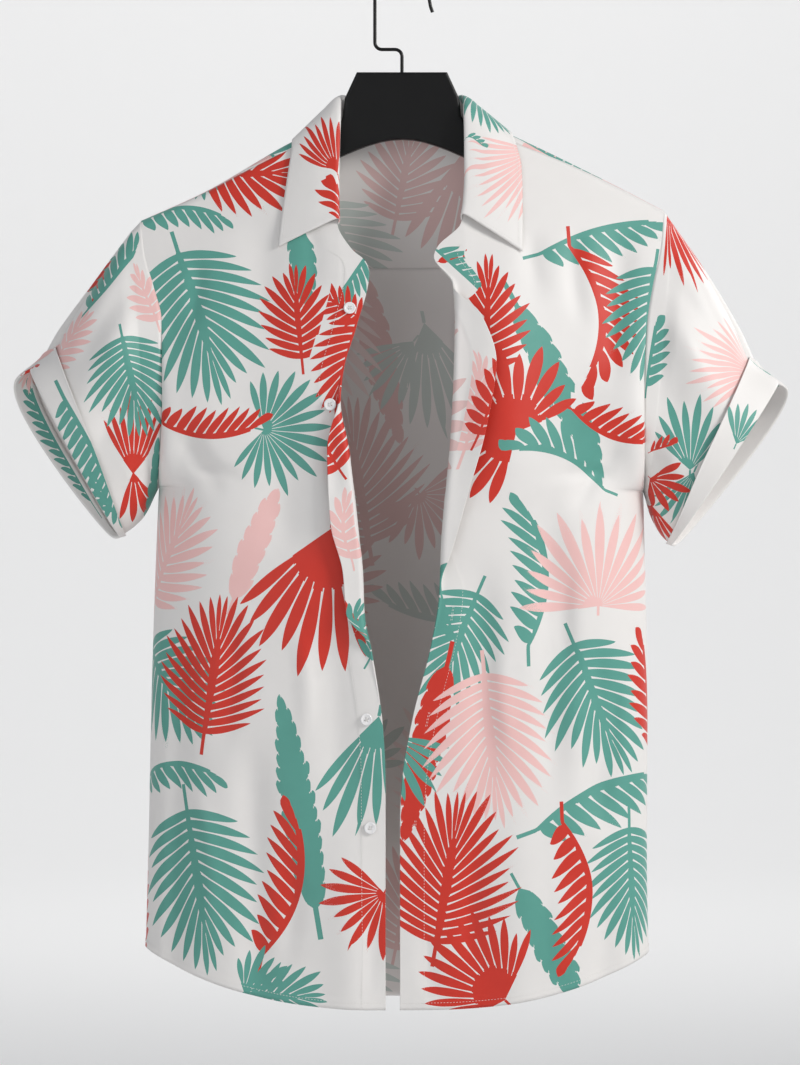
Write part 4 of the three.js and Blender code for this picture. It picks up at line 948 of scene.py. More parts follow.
# %% [markdown]
# ## Where each leaf lies on the flat cloth
#
# The camera turns a corner of a panel into a pixel. For a leaf's two ends, the corner whose
# pixel is nearest is looked up, and the small rest is carried over with the local slope
# between pixels and cloth. That also works for an end that lies past the panel's edge,
# where the leaf is simply cut off by the seam, as on real printed cloth.

# %% Find the leaves on the flat cloth
def photo_pixels(points):
    centre = np.array(VIEW_CENTRE) / MM
    away = (CAMERA_DISTANCE / MM) / (CAMERA_DISTANCE / MM + points[..., 1] - centre[1])
    px = 400 + (points[..., 0] - centre[0]) / PIXEL * away
    py = 532.5 - (points[..., 2] - centre[2]) / PIXEL * away
    return np.stack([px, py], axis=-1)


def on_cloth(points, flat, seen, pixel):
    pixels = photo_pixels(points)
    distance = ((pixels - pixel) ** 2).sum(axis=2) + 0.5 * points[..., 1] + np.where(seen, 0, 1e9)
    i, j = np.unravel_index(np.argmin(distance), distance.shape)
    i, j = min(max(i, 1), points.shape[0] - 2), min(max(j, 1), points.shape[1] - 2)
    step = lambda v: np.stack([v[i, j + 1] - v[i, j - 1], v[i + 1, j] - v[i - 1, j]], axis=1)
    left, _, right = np.linalg.svd(step(flat) @ np.linalg.pinv(step(pixels), rcond=0.02))
    to_flat = PIXEL * left @ right
    rest = pixel - pixels[i, j]
    return flat[i, j] + to_flat @ rest, -np.sign(np.linalg.det(to_flat))


def facing_camera(points, flip):
    across, down = np.gradient(points, axis=1), np.gradient(points, axis=0)
    normal = np.cross(across, down)
    return (normal[..., 1] < 0) if flip else (normal[..., 1] > 0)


def leaf_places(points, flat, flip, rows, seen=None):
    seen = facing_camera(points, flip) if seen is None else seen
    places = []
    for row in rows:
        base, hand = on_cloth(points, flat, seen, np.array([row["x"], row["y"]], float))
        tip, _ = on_cloth(points, flat, seen, np.array([row["tipX"], row["tipY"]], float))
        places.append(dict(row, base=base, tip=tip, hand=hand))
    return places


ORIGIN_X, ORIGIN_Y = 402, -48


def shifted_back(row):
    turn_over = lambda px, py: np.array([ORIGIN_X - px, ORIGIN_Y - py]) * PIXEL
    base, tip = turn_over(row["x"], row["y"]), turn_over(row["tipX"], row["tipY"])
    drop = BACK_SHIFT if base[1] + BACK_SEAM > -2 * BACK_SHIFT - 260 else BACK_SHIFT - BACK_LENGTH
    shift = np.array([0, -drop])
    return dict(row, base=base + shift, tip=tip + shift, hand=-1)


NEXT_INK = {"teal": "red", "red": "pink", "pink": "teal"}


def on_flat(row):
    return dict(row, base=np.array([row["x"], row["z"]]), tip=np.array([row["tipX"], row["tipZ"]]), hand=1)


def behind(leaf, name):
    ink = NEXT_INK[leaf["ink"]] if name.startswith("sleeve") else leaf["ink"]
    ring = flats[name].mean(axis=0)
    half_way = (ring[-1] - ring[0]) / 2
    return dict(leaf, base=leaf["base"] + half_way, tip=leaf["tip"] + half_way, ink=ink)


def reflected(name):
    flat = flats[name].copy()
    flat[:, :, 0] = 2 * flat[:, -1:, 0] - flat[:, :, 0]
    return flat


places = {}
for name in ("sleeve_right", "sleeve_left", "cuff_right", "cuff_left", "collar", "yoke"):
    places[name] = leaf_places(grids[name], flats[name], turned[name], LEAVES[name])
for side in SIDES:
    name = f"front_{side}"
    points, flip = grids[name], turned[name]
    facing = ~facing_camera(points, flip) & (edge_distance(points) < FACING_WIDTH)
    places[name] = leaf_places(points, flats[name], flip, LEAVES[name])
    places[name] += leaf_places(points, reflected(name), not flip, LEAVES[f"facing_{side}"], facing)
places["back"] = [on_flat(row) for row in BACK_LEAVES]
places["back"] += [shifted_back(row) for side in SIDES for row in LEAVES[f"front_{side}"]]
over_seam = [dict(leaf, base=leaf["base"] + (0, lift), tip=leaf["tip"] + (0, lift))
             for leaf in places["back"] for lift in (0, BACK_LENGTH)]
places["yoke"] = over_seam + places["yoke"]
for name in ("sleeve_right", "sleeve_left", "cuff_right", "cuff_left"):
    whole_ones = [leaf for leaf in places[name] if (leaf["leaf"] != "half") == name.startswith("sleeve")]
    places[name] = [behind(leaf, name) for leaf in whole_ones if leaf["leaflets"] > 5] + places[name]
places["collar"] += [on_flat(row) for row in COLLAR_BACK_LEAVES]
print("leaves", sum(len(rows) for rows in places.values()))

# %% [markdown]
# ## Storing the leaves on the faces
#
# For every leaf the corners get two numbers: how far along the stalk and how far to the
# side, as shares of the leaf's length. A bent stalk is straightened here. A face keeps the
# four topmost leaves that touch it, and the shader does the rest. Down the front edges the
# facing is cut apart from the front, so a leaf can be kept to the band or kept off it.

# %% Write leaf coordinates as attributes
LAYERS = 4
BAND_WIDTH = {"right": 32, "left": 27}
BAND_END = {"right": -415, "left": -335}


def leaf_coordinates(leaf, cloth):
    run = leaf["tip"] - leaf["base"]
    length = np.hypot(*run)
    along = ((cloth - leaf["base"]) @ run) / length**2
    across = ((cloth - leaf["base"]) @ np.array([-run[1], run[0]])) / length**2 * leaf["hand"]
    bent = np.clip(along, 0, 1)
    across = across - leaf["bend"] * 4 * bent * (1 - bent)
    if KINDS[leaf["leaf"]]["half"]:
        across = across * (leaf["grow"] or 1)
    return along, across, length


def leaf_touches(leaf, along, across):
    if leaf["leaf"] == "fan":
        spread = math.radians(min(leaf["reach"], 175)) + 0.1
        ring = np.hypot(along, across)
        return (ring < 1.05) & (np.abs(np.arctan2(across, along)) < spread) | (ring < 0.08)
    wide = leaf["reach"] * 1.02 + 0.02
    low = -0.05 if KINDS[leaf["leaf"]]["half"] else -wide
    stalk = (along > -0.2) & (along < 1) & (np.abs(across) < 0.03)
    return stalk | (along > -0.03) & (along < 1.15) & (across > low) & (across < wide)


def leaf_cut(leaf):
    kind = KINDS[leaf["leaf"]]
    join = leaf["join"] or kind["join"]
    if leaf["leaf"] == "fan":
        return (math.radians(leaf["reach"]), 0, -1), (leaf["leaflets"], 1, join)
    return (kind["lean"], kind["sweep"], kind["stalk"]), (leaf["leaflets"], leaf["reach"], join + kind["half"])


def print_leaves(name):
    mesh = sewn[name].data
    count = len(mesh.polygons)
    starts = np.zeros(count, dtype=np.int32)
    mesh.polygons.foreach_get("loop_start", starts)
    cloth = np.zeros(len(mesh.loops) * 2, dtype=np.float32)
    mesh.uv_layers["cloth"].data.foreach_get("uv", cloth)
    cloth = cloth.reshape(-1, 2).astype(float) / MM
    wrong = np.zeros(count, dtype=np.float32)
    mesh.attributes["wrong_side"].data.foreach_get("value", wrong)
    face_of = np.repeat(np.arange(count), np.diff(np.append(starts, len(mesh.loops))))
    if name.startswith("front"):
        free = flats[name][::-1, -1]
        edge = np.interp(cloth[:, 1], free[:, 1], free[:, 0])
        side = name.split("_")[1]
        under = (np.abs(edge - cloth[:, 0]) < FACING_WIDTH) & (cloth[:, 1] < NECK_CORNER[side])
        under = np.logical_and.reduceat(under, starts) & (wrong > 0.5)
        loops = under[face_of]
        cloth[loops, 0] = 2 * edge[loops] - cloth[loops, 0]
        wrong[under] = 0
        mesh.attributes["wrong_side"].data.foreach_set("value", wrong)
    band = np.zeros(count, dtype=bool)
    if name.startswith("front"):
        near = (np.abs(edge - cloth[:, 0]) < BAND_WIDTH[side]) & (cloth[:, 1] > BAND_END[side])
        band = np.logical_and.reduceat(near, starts) | under
    taken = np.zeros(count, dtype=int)
    spots = np.zeros((LAYERS, len(cloth), 3), dtype=np.float32)
    cuts = np.zeros((LAYERS, count, 3), dtype=np.float32)
    tips = np.zeros((LAYERS, count, 3), dtype=np.float32)
    spots[:, :, 0] = 9
    dropped = 0
    for leaf in places[name][::-1]:
        along, across, length = leaf_coordinates(leaf, cloth)
        touched = np.logical_or.reduceat(leaf_touches(leaf, along, across), starts)
        touched &= {"band": band, "main": ~band}.get(leaf.get("only"), True)
        dropped += int((touched & (taken >= LAYERS)).sum())
        cut, tip = leaf_cut(leaf)
        for layer in range(LAYERS):
            here = touched & (taken == layer)
            loops = here[face_of]
            spots[layer, loops, 0] = along[loops]
            spots[layer, loops, 1] = across[loops]
            spots[layer, loops, 2] = INKS[leaf["ink"]]
            cuts[layer, here] = cut
            tips[layer, here] = tip
            taken = np.where(here, taken + 1, taken)
            touched = touched & ~here
    for layer in range(LAYERS):
        for title, domain, values in ((f"leaf_{layer}", "CORNER", spots), (f"cut_{layer}", "FACE", cuts),
                                      (f"tip_{layer}", "FACE", tips)):
            attribute = mesh.attributes.new(title, "FLOAT_VECTOR", domain)
            attribute.data.foreach_set("vector", values[layer].ravel())
    return dropped


for name in sewn:
    print(name, "leaves", len(places[name]), "faces with too many", print_leaves(name))

# %% [markdown]
# ## The shader that draws a leaf
#
# In nodes the leaf is a little geometry. On a frond the leaflets start along the stalk and
# lean forward more and more, so the place on the stalk that a point belongs to comes from
# a quadratic equation. On a fan it is just the angle. The distance along the leaflet then
# gives its width: wide where leaflets join, full in the middle, pointed at the end.

# %% A small helper for Math nodes
def math_nodes(tree):
    def calc(operation, *values):
        node = tree.nodes.new("ShaderNodeMath")
        node.operation = operation
        for socket, value in zip(node.inputs, values):
            if isinstance(value, bpy.types.NodeSocket):
                tree.links.new(value, socket)
            else:
                socket.default_value = value
        return node.outputs[0]

    return calc


def separate(tree, vector):
    node = tree.nodes.new("ShaderNodeSeparateXYZ")
    tree.links.new(vector, node.inputs[0])
    return node.outputs[:3]


def profile(tree, value, *points):
    node = tree.nodes.new("ShaderNodeFloatCurve")
    line = node.mapping.curves[0].points
    line[0].location, line[1].location = points[0], points[-1]
    for point in points[1:-1]:
        line.new(*point)
    node.mapping.update()
    tree.links.new(value, node.inputs["Value"])
    return node.outputs[0]


# %% Node group that draws one leaf
leaf_group = bpy.data.node_groups.new("leaf_shape", "ShaderNodeTree")
for title in ("Place", "Cut", "Tip"):
    leaf_group.interface.new_socket(title, in_out="INPUT", socket_type="NodeSocketVector")
leaf_group.interface.new_socket("Mask", in_out="OUTPUT", socket_type="NodeSocketFloat")
inside = leaf_group.nodes.new("NodeGroupInput")
outside = leaf_group.nodes.new("NodeGroupOutput")
calc = math_nodes(leaf_group)
p, q, ink = separate(leaf_group, inside.outputs["Place"])
lean, sweep, stalk = separate(leaf_group, inside.outputs["Cut"])
leaflets, reach, join_half = separate(leaf_group, inside.outputs["Tip"])

is_fan = calc("LESS_THAN", stalk, 0)
is_half = calc("GREATER_THAN", join_half, 1.5)
join = calc("SUBTRACT", join_half, calc("MULTIPLY", is_half, 2))
away = calc("ABSOLUTE", q)
stem_end = calc("MAXIMUM", stalk, 0.1)
curved = calc("MULTIPLY", calc("MULTIPLY", away, away), 0.45)
ahead = calc("SUBTRACT", calc("SUBTRACT", p, calc("MULTIPLY", lean, away)), curved)
total = calc("ADD", calc("ADD", ahead, stem_end), calc("MULTIPLY", sweep, away))
root = calc("SQRT", calc("MAXIMUM", calc("SUBTRACT", calc("MULTIPLY", total, total),
                                         calc("MULTIPLY", calc("MULTIPLY", stem_end, 4), ahead)), 0))
start = calc("MULTIPLY", calc("SUBTRACT", total, root), 0.5)
step = calc("SUBTRACT", p, start)
frond_run = calc("SQRT", calc("ADD", calc("MULTIPLY", step, step), calc("MULTIPLY", q, q)))
frond_share = calc("DIVIDE", start, stem_end)
fan_run = calc("SQRT", calc("ADD", calc("MULTIPLY", p, p), calc("MULTIPLY", q, q)))
half_spread = calc("MAXIMUM", lean, 0.1)
fan_share = calc("ADD", calc("DIVIDE", calc("ARCTAN2", q, p), calc("MULTIPLY", half_spread, 2)), 0.5)


def pick(fan_value, frond_value):
    return calc("ADD", calc("MULTIPLY", is_fan, fan_value),
                calc("MULTIPLY", calc("SUBTRACT", 1, is_fan), frond_value))


run, share = pick(fan_run, frond_run), pick(fan_share, frond_share)
frond_reach = profile(leaf_group, share, (0, 0.55), (0.22, 0.92), (0.5, 1.0), (0.8, 0.86), (1, 0.68))
fan_reach = calc("ADD", calc("MULTIPLY", calc("SINE", calc("MULTIPLY", share, math.pi)), 0.25), 0.75)
longest = calc("MULTIPLY", pick(fan_reach, frond_reach), reach)
count_along = calc("MULTIPLY", share, leaflets)
number = calc("ADD", calc("FLOOR", count_along), calc("MULTIPLY", calc("GREATER_THAN", q, 0), 7))
off_middle = calc("MULTIPLY", calc("ABSOLUTE", calc("SUBTRACT", calc("FRACT", count_along), 0.5)), 2)
chance = leaf_group.nodes.new("ShaderNodeTexWhiteNoise")
chance.noise_dimensions = "1D"
own = calc("ADD", calc("MULTIPLY", leaflets, 3.1), calc("MULTIPLY", ink, 13.3))
leaf_group.links.new(calc("ADD", number, own), chance.inputs["W"])
length = calc("MULTIPLY", longest, calc("ADD", calc("MULTIPLY", chance.outputs["Value"], 0.22), 0.78))
part = calc("DIVIDE", run, calc("MAXIMUM", length, 0.001))
near_tip = calc("MULTIPLY", calc("LESS_THAN", join, 0.2), 0.2)
join = calc("ADD", join, calc("MULTIPLY", calc("POWER", share, 3), near_tip))
beyond = calc("MAXIMUM", calc("DIVIDE", calc("SUBTRACT", part, join), calc("SUBTRACT", 1, join)), 0)
width = profile(leaf_group, beyond, (0, 0.74), (0.3, 0.88), (0.6, 0.72), (0.85, 0.36), (1, 0))
width = calc("ADD", width, calc("MULTIPLY", calc("LESS_THAN", part, join), 0.5))
blade = calc("MULTIPLY", calc("LESS_THAN", off_middle, width), calc("LESS_THAN", part, 1))
blade = calc("MULTIPLY", blade, calc("MULTIPLY", calc("GREATER_THAN", share, 0.0), calc("LESS_THAN", share, 1)))
one_side = calc("SUBTRACT", 1, calc("MULTIPLY", is_half, calc("LESS_THAN", q, 0)))
blade = calc("MULTIPLY", blade, one_side)
stem = calc("MULTIPLY", calc("LESS_THAN", away, 0.013),
            calc("MULTIPLY", calc("GREATER_THAN", p, -0.14), calc("LESS_THAN", p, calc("MAXIMUM", stalk, 0.0))))
leaf_group.links.new(calc("MAXIMUM", blade, stem), outside.inputs["Mask"])
print("leaf nodes", len(leaf_group.nodes))

# %% [markdown]
# ## The printed cloth
#
# The shirt is a smooth, slightly glossy polyester. Its ground is a warm white, the inks are
# a grey green, a brick red and a pale pink, each a little uneven. The wrong side shows the
# same print faded through. Close up there is a fine plain weave.

# %% Printed cloth material
def colour(*tones):
    shares = [tone / 255 for tone in tones]
    linear = [c / 12.92 if c <= 0.04045 else ((c + 0.055) / 1.055) ** 2.4 for c in shares]
    return (*linear, 1)


GROUND, TEAL = colour(229, 226, 223), colour(86, 154, 141)
RED, PINK = colour(203, 46, 30), colour(237, 190, 186)


def attribute_node(tree, title):
    node = tree.nodes.new("ShaderNodeAttribute")
    node.attribute_name = title
    return node


def blend(tree, share, low, high, mode="MIX"):
    node = tree.nodes.new("ShaderNodeMix")
    node.data_type = "RGBA"
    node.blend_type = mode
    for socket, value in ((node.inputs[0], share), (node.inputs[6], low), (node.inputs[7], high)):
        if isinstance(value, bpy.types.NodeSocket):
            tree.links.new(value, socket)
        else:
            socket.default_value = value
    return node.outputs[2]


def printed_cloth():
    material = bpy.data.materials.new("printed_cloth")
    material.use_nodes = True
    tree = material.node_tree
    calc = math_nodes(tree)
    shader = tree.nodes["Principled BSDF"]
    cloth = tree.nodes.new("ShaderNodeUVMap")
    cloth.uv_map = "cloth"
    uneven = tree.nodes.new("ShaderNodeTexNoise")
    uneven.inputs["Scale"].default_value = 55
    uneven.inputs["Detail"].default_value = 3
    tree.links.new(cloth.outputs[0], uneven.inputs["Vector"])
    paint = GROUND
    for layer in reversed(range(LAYERS)):
        leaf = tree.nodes.new("ShaderNodeGroup")
        leaf.node_tree = leaf_group
        spot = attribute_node(tree, f"leaf_{layer}")
        tree.links.new(spot.outputs["Vector"], leaf.inputs["Place"])
        tree.links.new(attribute_node(tree, f"cut_{layer}").outputs["Vector"], leaf.inputs["Cut"])
        tree.links.new(attribute_node(tree, f"tip_{layer}").outputs["Vector"], leaf.inputs["Tip"])
        ink = separate(tree, spot.outputs["Vector"])[2]
        ramp = tree.nodes.new("ShaderNodeValToRGB")
        ramp.color_ramp.interpolation = "CONSTANT"
        stops = ramp.color_ramp.elements
        stops[0].color = TEAL
        stops[1].position, stops[1].color = 0.375, RED
        stops.new(0.625).color = PINK
        tree.links.new(calc("DIVIDE", ink, 4), ramp.inputs["Fac"])
        paint = blend(tree, leaf.outputs["Mask"], paint, ramp.outputs["Color"])
    shade = calc("MULTIPLY", uneven.outputs["Fac"], 0.16)
    paint = blend(tree, shade, paint, (1, 1, 1, 1), "SOFT_LIGHT")
    wrong = attribute_node(tree, "wrong_side")
    faded = calc("MULTIPLY", wrong.outputs["Fac"], 0.66)
    paint = blend(tree, faded, paint, colour(232, 227, 224))
    tree.links.new(paint, shader.inputs["Base Color"])
    weave = tree.nodes.new("ShaderNodeTexBrick")
    weave.inputs["Scale"].default_value = 1000
    weave.inputs["Mortar Size"].default_value = 0.08
    weave.inputs["Mortar Smooth"].default_value = 0.9
    weave.inputs["Color1"].default_value = (1, 1, 1, 1)
    weave.inputs["Color2"].default_value = (0.85, 0.85, 0.85, 1)
    weave.inputs["Mortar"].default_value = (0.2, 0.2, 0.2, 1)
    tree.links.new(cloth.outputs[0], weave.inputs["Vector"])
    bump = tree.nodes.new("ShaderNodeBump")
    bump.inputs["Strength"].default_value = 0.18
    bump.inputs["Distance"].default_value = 0.0002
    tree.links.new(weave.outputs["Color"], bump.inputs["Height"])
    tree.links.new(bump.outputs["Normal"], shader.inputs["Normal"])
    shader.inputs["Roughness"].default_value = 0.46
    shader.inputs["Specular IOR Level"].default_value = 0.42
    shader.inputs["Sheen Weight"].default_value = 0.18
    shader.inputs["Sheen Roughness"].default_value = 0.4
    return material


cloth_material = printed_cloth()
for name, piece in sewn.items():
    piece.data.materials.clear()
    piece.data.materials.append(cloth_material)
    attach(piece, "root")
    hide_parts(name)
print("cloth nodes", len(cloth_material.node_tree.nodes))

# %% [markdown]
# ## Points and directions on a sewn piece
#
# Stitches and buttons sit on the cloth, so they need to know where its surface is and which
# way it faces. Both come from the same grid that made the piece: a place is a row and a
# column, also between two of them.

# %% Helpers that read a grid
def outward(name):
    across, down = np.gradient(grids[name], axis=1), np.gradient(grids[name], axis=0)
    normal = np.cross(across, down) * (1 if turned[name] else -1)
    return normal / np.maximum(np.linalg.norm(normal, axis=2, keepdims=True), 1e-9)


def grid_value(values, rows, columns):
    rows = np.clip(rows, 0, values.shape[0] - 1.001)
    columns = np.clip(columns, 0, values.shape[1] - 1.001)
    i, j = rows.astype(int), columns.astype(int)
    s, t = (rows - i)[:, None], (columns - j)[:, None]
    upper = values[i, j] * (1 - t) + values[i, j + 1] * t
    lower = values[i + 1, j] * (1 - t) + values[i + 1, j + 1] * t
    return upper * (1 - s) + lower * s


def column_where(distance, level):
    return np.array([np.interp(-level, -line, np.arange(len(line))) for line in distance])


def row_where(distance, level):
    return np.array([np.interp(-level, -line, np.arange(len(line))) for line in distance.T])


# %% [markdown]
# ## Stitches
#
# A seam on a shirt is a row of stitches about 2.7 mm apart, each a short bump of thread that
# sinks in at its ends. A stitch here is a tiny stretched icosphere of twenty faces. A line
# of them follows the hems, the collar's edge, the yoke's seam and the facings.

# %% Sew lines of stitches
STITCH_PITCH, STITCH_LENGTH, STITCH_WIDTH = 2.7, 2.0, 0.42
ON_FOLD, ON_COLLAR, ON_CLOTH, ON_BUTTONHOLE = 0.78, 0.62, 0.37, 0.80
HEM_STITCH, COLLAR_STITCH = 6.0, 4.5
normals = {name: outward(name) for name in sewn}


def stitch_line(bm, name, rows, columns, lift, inside=False):
    spots = grid_value(grids[name], rows, columns)
    facing = grid_value(normals[name], rows, columns) * (-1 if inside else 1)
    steps = arc(spots, 0)
    at = np.arange(1, steps[-1] - 1, STITCH_PITCH)
    if len(at) < 3:
        return 0
    put = lambda values, where: np.stack([np.interp(where, steps, values[:, k]) for k in range(3)], axis=1)
    centres, up = put(spots, at), put(facing, at)
    ahead = put(spots, at + 0.5) - put(spots, at - 0.5)
    for centre, way, normal in zip(centres, ahead, up):
        way, normal = Vector(way).normalized(), Vector(normal).normalized()
        side = normal.cross(way).normalized()
        normal = way.cross(side)
        size = (STITCH_LENGTH / 2 * MM, STITCH_WIDTH / 2 * MM, STITCH_WIDTH / 2 * MM)
        turn = Matrix((way * size[0], side * size[1], normal * size[2])).transposed().to_4x4()
        turn.translation = (Vector(centre) + normal * lift) * MM
        bmesh.ops.create_icosphere(bm, subdivisions=1, radius=1, matrix=turn)
    return len(at)


def sew_stitches(title, lines):
    bm = bmesh.new()
    total = sum(stitch_line(bm, *line) for line in lines)
    piece = stand(title, mesh_from(bm, title))
    piece.data.shade_smooth()
    piece.data.materials.append(thread_material)
    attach(piece, "root")
    print(title, total, "stitches")
    return piece


def grained(title, low, high, roughness, **noise):
    """A material whose colour runs between two tones; also returns its shader and its grain."""
    material = bpy.data.materials.new(title)
    material.use_nodes = True
    tree = material.node_tree
    shader = tree.nodes["Principled BSDF"]
    grain = tree.nodes.new("ShaderNodeTexNoise")
    for socket, value in noise.items():
        grain.inputs[socket].default_value = value
    where = tree.nodes.new("ShaderNodeTexCoord")
    tree.links.new(where.outputs["Object"], grain.inputs["Vector"])
    tree.links.new(blend(tree, grain.outputs["Fac"], colour(*low), colour(*high)), shader.inputs["Base Color"])
    shader.inputs["Roughness"].default_value = roughness
    return material, shader, grain.outputs["Fac"]


thread_material, _, _ = grained("sewing_thread", (214, 211, 207), (246, 244, 240), 0.6, Scale=2500)
whole = lambda name: np.arange(grids[name].shape[1], dtype=float)
lengthwise = lambda name: np.arange(grids[name].shape[0], dtype=float)
trims = {name: [] for name in sewn}
for name in ("front_right", "front_left", "back"):
    above = grids[name][:, :, 2] - grids[name][-1:, :, 2]
    line = (name, row_where(above, HEM_STITCH), whole(name), ON_FOLD)
    trims[name].append(sew_stitches(f"hem_stitches_{name}", [line]))

from_neck = arc(grids["collar"], 0)
to_leaf_edge = from_neck[-1:] - from_neck
edge_rows = row_where(to_leaf_edge, COLLAR_STITCH)
from_start = arc(grids["collar"][-1], 0)
inset = [np.interp(place, from_start, np.arange(len(from_start)))
         for place in (COLLAR_STITCH, from_start[-1] - COLLAR_STITCH)]
edge_columns = np.linspace(inset[0], inset[1], 400)
edge_line = np.interp(edge_columns, whole("collar"), edge_rows)
end_rows = np.linspace(grids["collar"].shape[0] * 0.42, edge_line[0], 60)
collar_lines = [("collar", edge_line, edge_columns, ON_COLLAR)]
collar_lines += [("collar", end_rows, np.full(60, column), ON_COLLAR) for column in inset]
trims["collar"].append(sew_stitches("collar_stitches", collar_lines))

yoke_line = ("yoke", np.full(len(whole("yoke")), YOKE_ROWS - 1.6), whole("yoke"), ON_CLOTH)
trims["yoke"].append(sew_stitches("yoke_stitches", [yoke_line]))

for side in SIDES:
    name = f"front_{side}"
    first = UPPER_ROWS // 3 + 2
    columns = column_where(edge_distance(grids[name]), FACING_WIDTH - 1.5)[first:]
    line = (name, lengthwise(name)[first:], columns, ON_FOLD)
    trims[name].append(sew_stitches(f"facing_stitches_{side}", [line]))

# %% [markdown]
# ## Buttons
#
# The buttons are small pearly discs with a raised rim and four holes, sewn on with two bars
# of thread. The disc is a profile spun round, the holes are cut with a Boolean modifier, and
# one button serves for all six: each stands where its solid stands, turned to face the way
# the cloth faces there.

# %% Spin one button and place six
BUTTON_PROFILE = table("r z", (0, -0.9), (3.6, -0.95), (4.7, -0.6), (5.15, -0.1), (5.25, 0.25), (5.0, 0.75),
                       (4.5, 1.0), (3.9, 0.95), (3.4, 0.6), (2.8, 0.5), (0, 0.5))


def spun(title, rows, steps=48):
    bm = bmesh.new()
    corners = [bm.verts.new((row["r"] * MM, 0, row["z"] * MM)) for row in rows]
    edges = [bm.edges.new(pair) for pair in zip(corners, corners[1:])]
    bmesh.ops.spin(bm, geom=corners + edges, cent=(0, 0, 0), axis=(0, 0, 1),
                   angle=2 * math.pi, steps=steps, use_merge=True)
    bmesh.ops.remove_doubles(bm, verts=bm.verts, dist=1e-6)
    bmesh.ops.recalc_face_normals(bm, faces=bm.faces)
    return mesh_from(bm, title)


def drilled_button():
    disc = stand("button_blank", spun("button_blank", BUTTON_PROFILE))
    bm = bmesh.new()
    for x, y in ((-0.95, -0.95), (0.95, -0.95), (-0.95, 0.95), (0.95, 0.95)):
        bmesh.ops.create_cone(bm, cap_ends=True, segments=16, radius1=0.5 * MM, radius2=0.62 * MM, depth=4 * MM,
                              matrix=Matrix.Translation((x * MM, y * MM, 0)))
    drill = stand("drill", mesh_from(bm, "drill"))
    cut = disc.modifiers.new("holes", "BOOLEAN")
    cut.operation, cut.solver, cut.object = "DIFFERENCE", "EXACT", drill
    finished = finished_mesh(disc)
    bpy.data.objects.remove(disc)
    bpy.data.objects.remove(drill)
    return finished


def button_thread():
    bm = bmesh.new()
    for x in (-0.95, 0.95):
        for shift in (-0.22, 0.22):
            turn = Matrix.Translation(((x + shift) * MM, 0, 0.62 * MM))
            turn = turn @ Matrix.Diagonal((0.24 * MM, 1.35 * MM, 0.34 * MM, 1))
            bmesh.ops.create_icosphere(bm, subdivisions=2, radius=1, matrix=turn)
    return mesh_from(bm, "button_thread")


pearl_material, pearl_shader, _ = grained(
    "pearl", (224, 226, 228), (252, 248, 246), 0.18, Scale=320, Distortion=1.5)
pearl_shader.inputs["Coat Weight"].default_value = 0.5
pearl_shader.inputs["Coat Roughness"].default_value = 0.08
blank, bars = drilled_button(), button_thread()
front = grids["front_right"].reshape(-1, 3)
front_normals = normals["front_right"].reshape(-1, 3)
button_places = []
for k in range(6):
    low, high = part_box(f"button_{k + 1}")
    centre = (np.array(low) + np.array(high)) / 2 / MM
    nearest = int(np.argmin(((front - centre) ** 2).sum(axis=1)))
    direction = front_normals[nearest]
    if np.dot(direction, centre - front[nearest]) < 0:
        direction = -direction
    normal = Vector(direction).normalized()
    turn = normal.to_track_quat("Z", "Y").to_matrix().to_4x4()
    spin = Matrix.Rotation(0.3 * k, 4, "Z")
    turn.translation = Vector(centre * MM)
    for title, source, material in ((f"pearl_button_{k + 1}", blank, pearl_material),
                                    (f"button_thread_{k + 1}", bars, thread_material)):
        mesh = source.copy()
        mesh.name = title
        mesh.transform(turn @ spin)
        mesh.materials.clear()
        mesh.materials.append(material)
        mesh.shade_smooth()
        piece = stand(title, mesh)
        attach(piece, "root")
        trims["front_right"].append(piece)
        if source is blank:
            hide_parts(f"button_{k + 1}")
            button_places.append(piece)
print("buttons", len(button_places))

# %% [markdown]
# ## Buttonholes
#
# The left front carries six buttonholes level with the buttons, upright, 13 mm from the
# edge. Each is two short rows of stitches side by side, 1.1 mm apart.

# %% Work the buttonholes
def buttonholes():
    name = "front_left"
    to_edge = edge_distance(grids[name])
    free_z = grids[name][:, -1, 2]
    lines = []
    for place in button_places:
        level = np.mean([corner.co.z for corner in place.data.vertices]) / MM
        row = float(np.interp(-level, -free_z, np.arange(len(free_z))))
        half = 6.5 / abs(free_z[int(row)] - free_z[int(row) + 1])
        rows = np.linspace(row - half, row + half, 12)
        for away in (-0.55, 0.55):
            columns = np.interp(rows, np.arange(len(free_z)), column_where(to_edge, 13 + away))
            lines.append((name, rows, columns, ON_BUTTONHOLE))
    return lines


trims["front_left"].append(sew_stitches("buttonhole_stitches", buttonholes()))

# %% [markdown]
# ## The hanger
#
# The hanger is one moulded piece of black plastic: a block that fills the neck and an arm
# inside each shoulder. Its outline is drawn once as a face, extruded to its thickness and
# bevelled all round. The front of the block is left plain.

# %% Mould the hanger
HANGER_THICKNESS, HANGER_TOP, ARM_END = 12, -96, 206


def hanger_half(side):
    top = lambda x: float(ridge(side, np.float64(x))) - 1.8
    rows = [(39, HANGER_TOP), (49.2, -118), (51.3, -134), (54, top(57) - 3)]
    rows += [(x, top(x)) for x in range(66, ARM_END - 5, 12)]
    rows += [(ARM_END - 2, top(ARM_END) - 2), (ARM_END, top(ARM_END) - 10),
             (ARM_END - 3, top(ARM_END - 3) - 23)]
    rows += [(x, top(x) - 24 - (ARM_END - x) * 0.057) for x in (190, 170, 150, 125, 100, 78)]
    rows += [(62, -174), (55, -170), (47, -166.4), (38, -162.6), (28, -159), (19, -156.3), (10, -154.6)]
    return rows


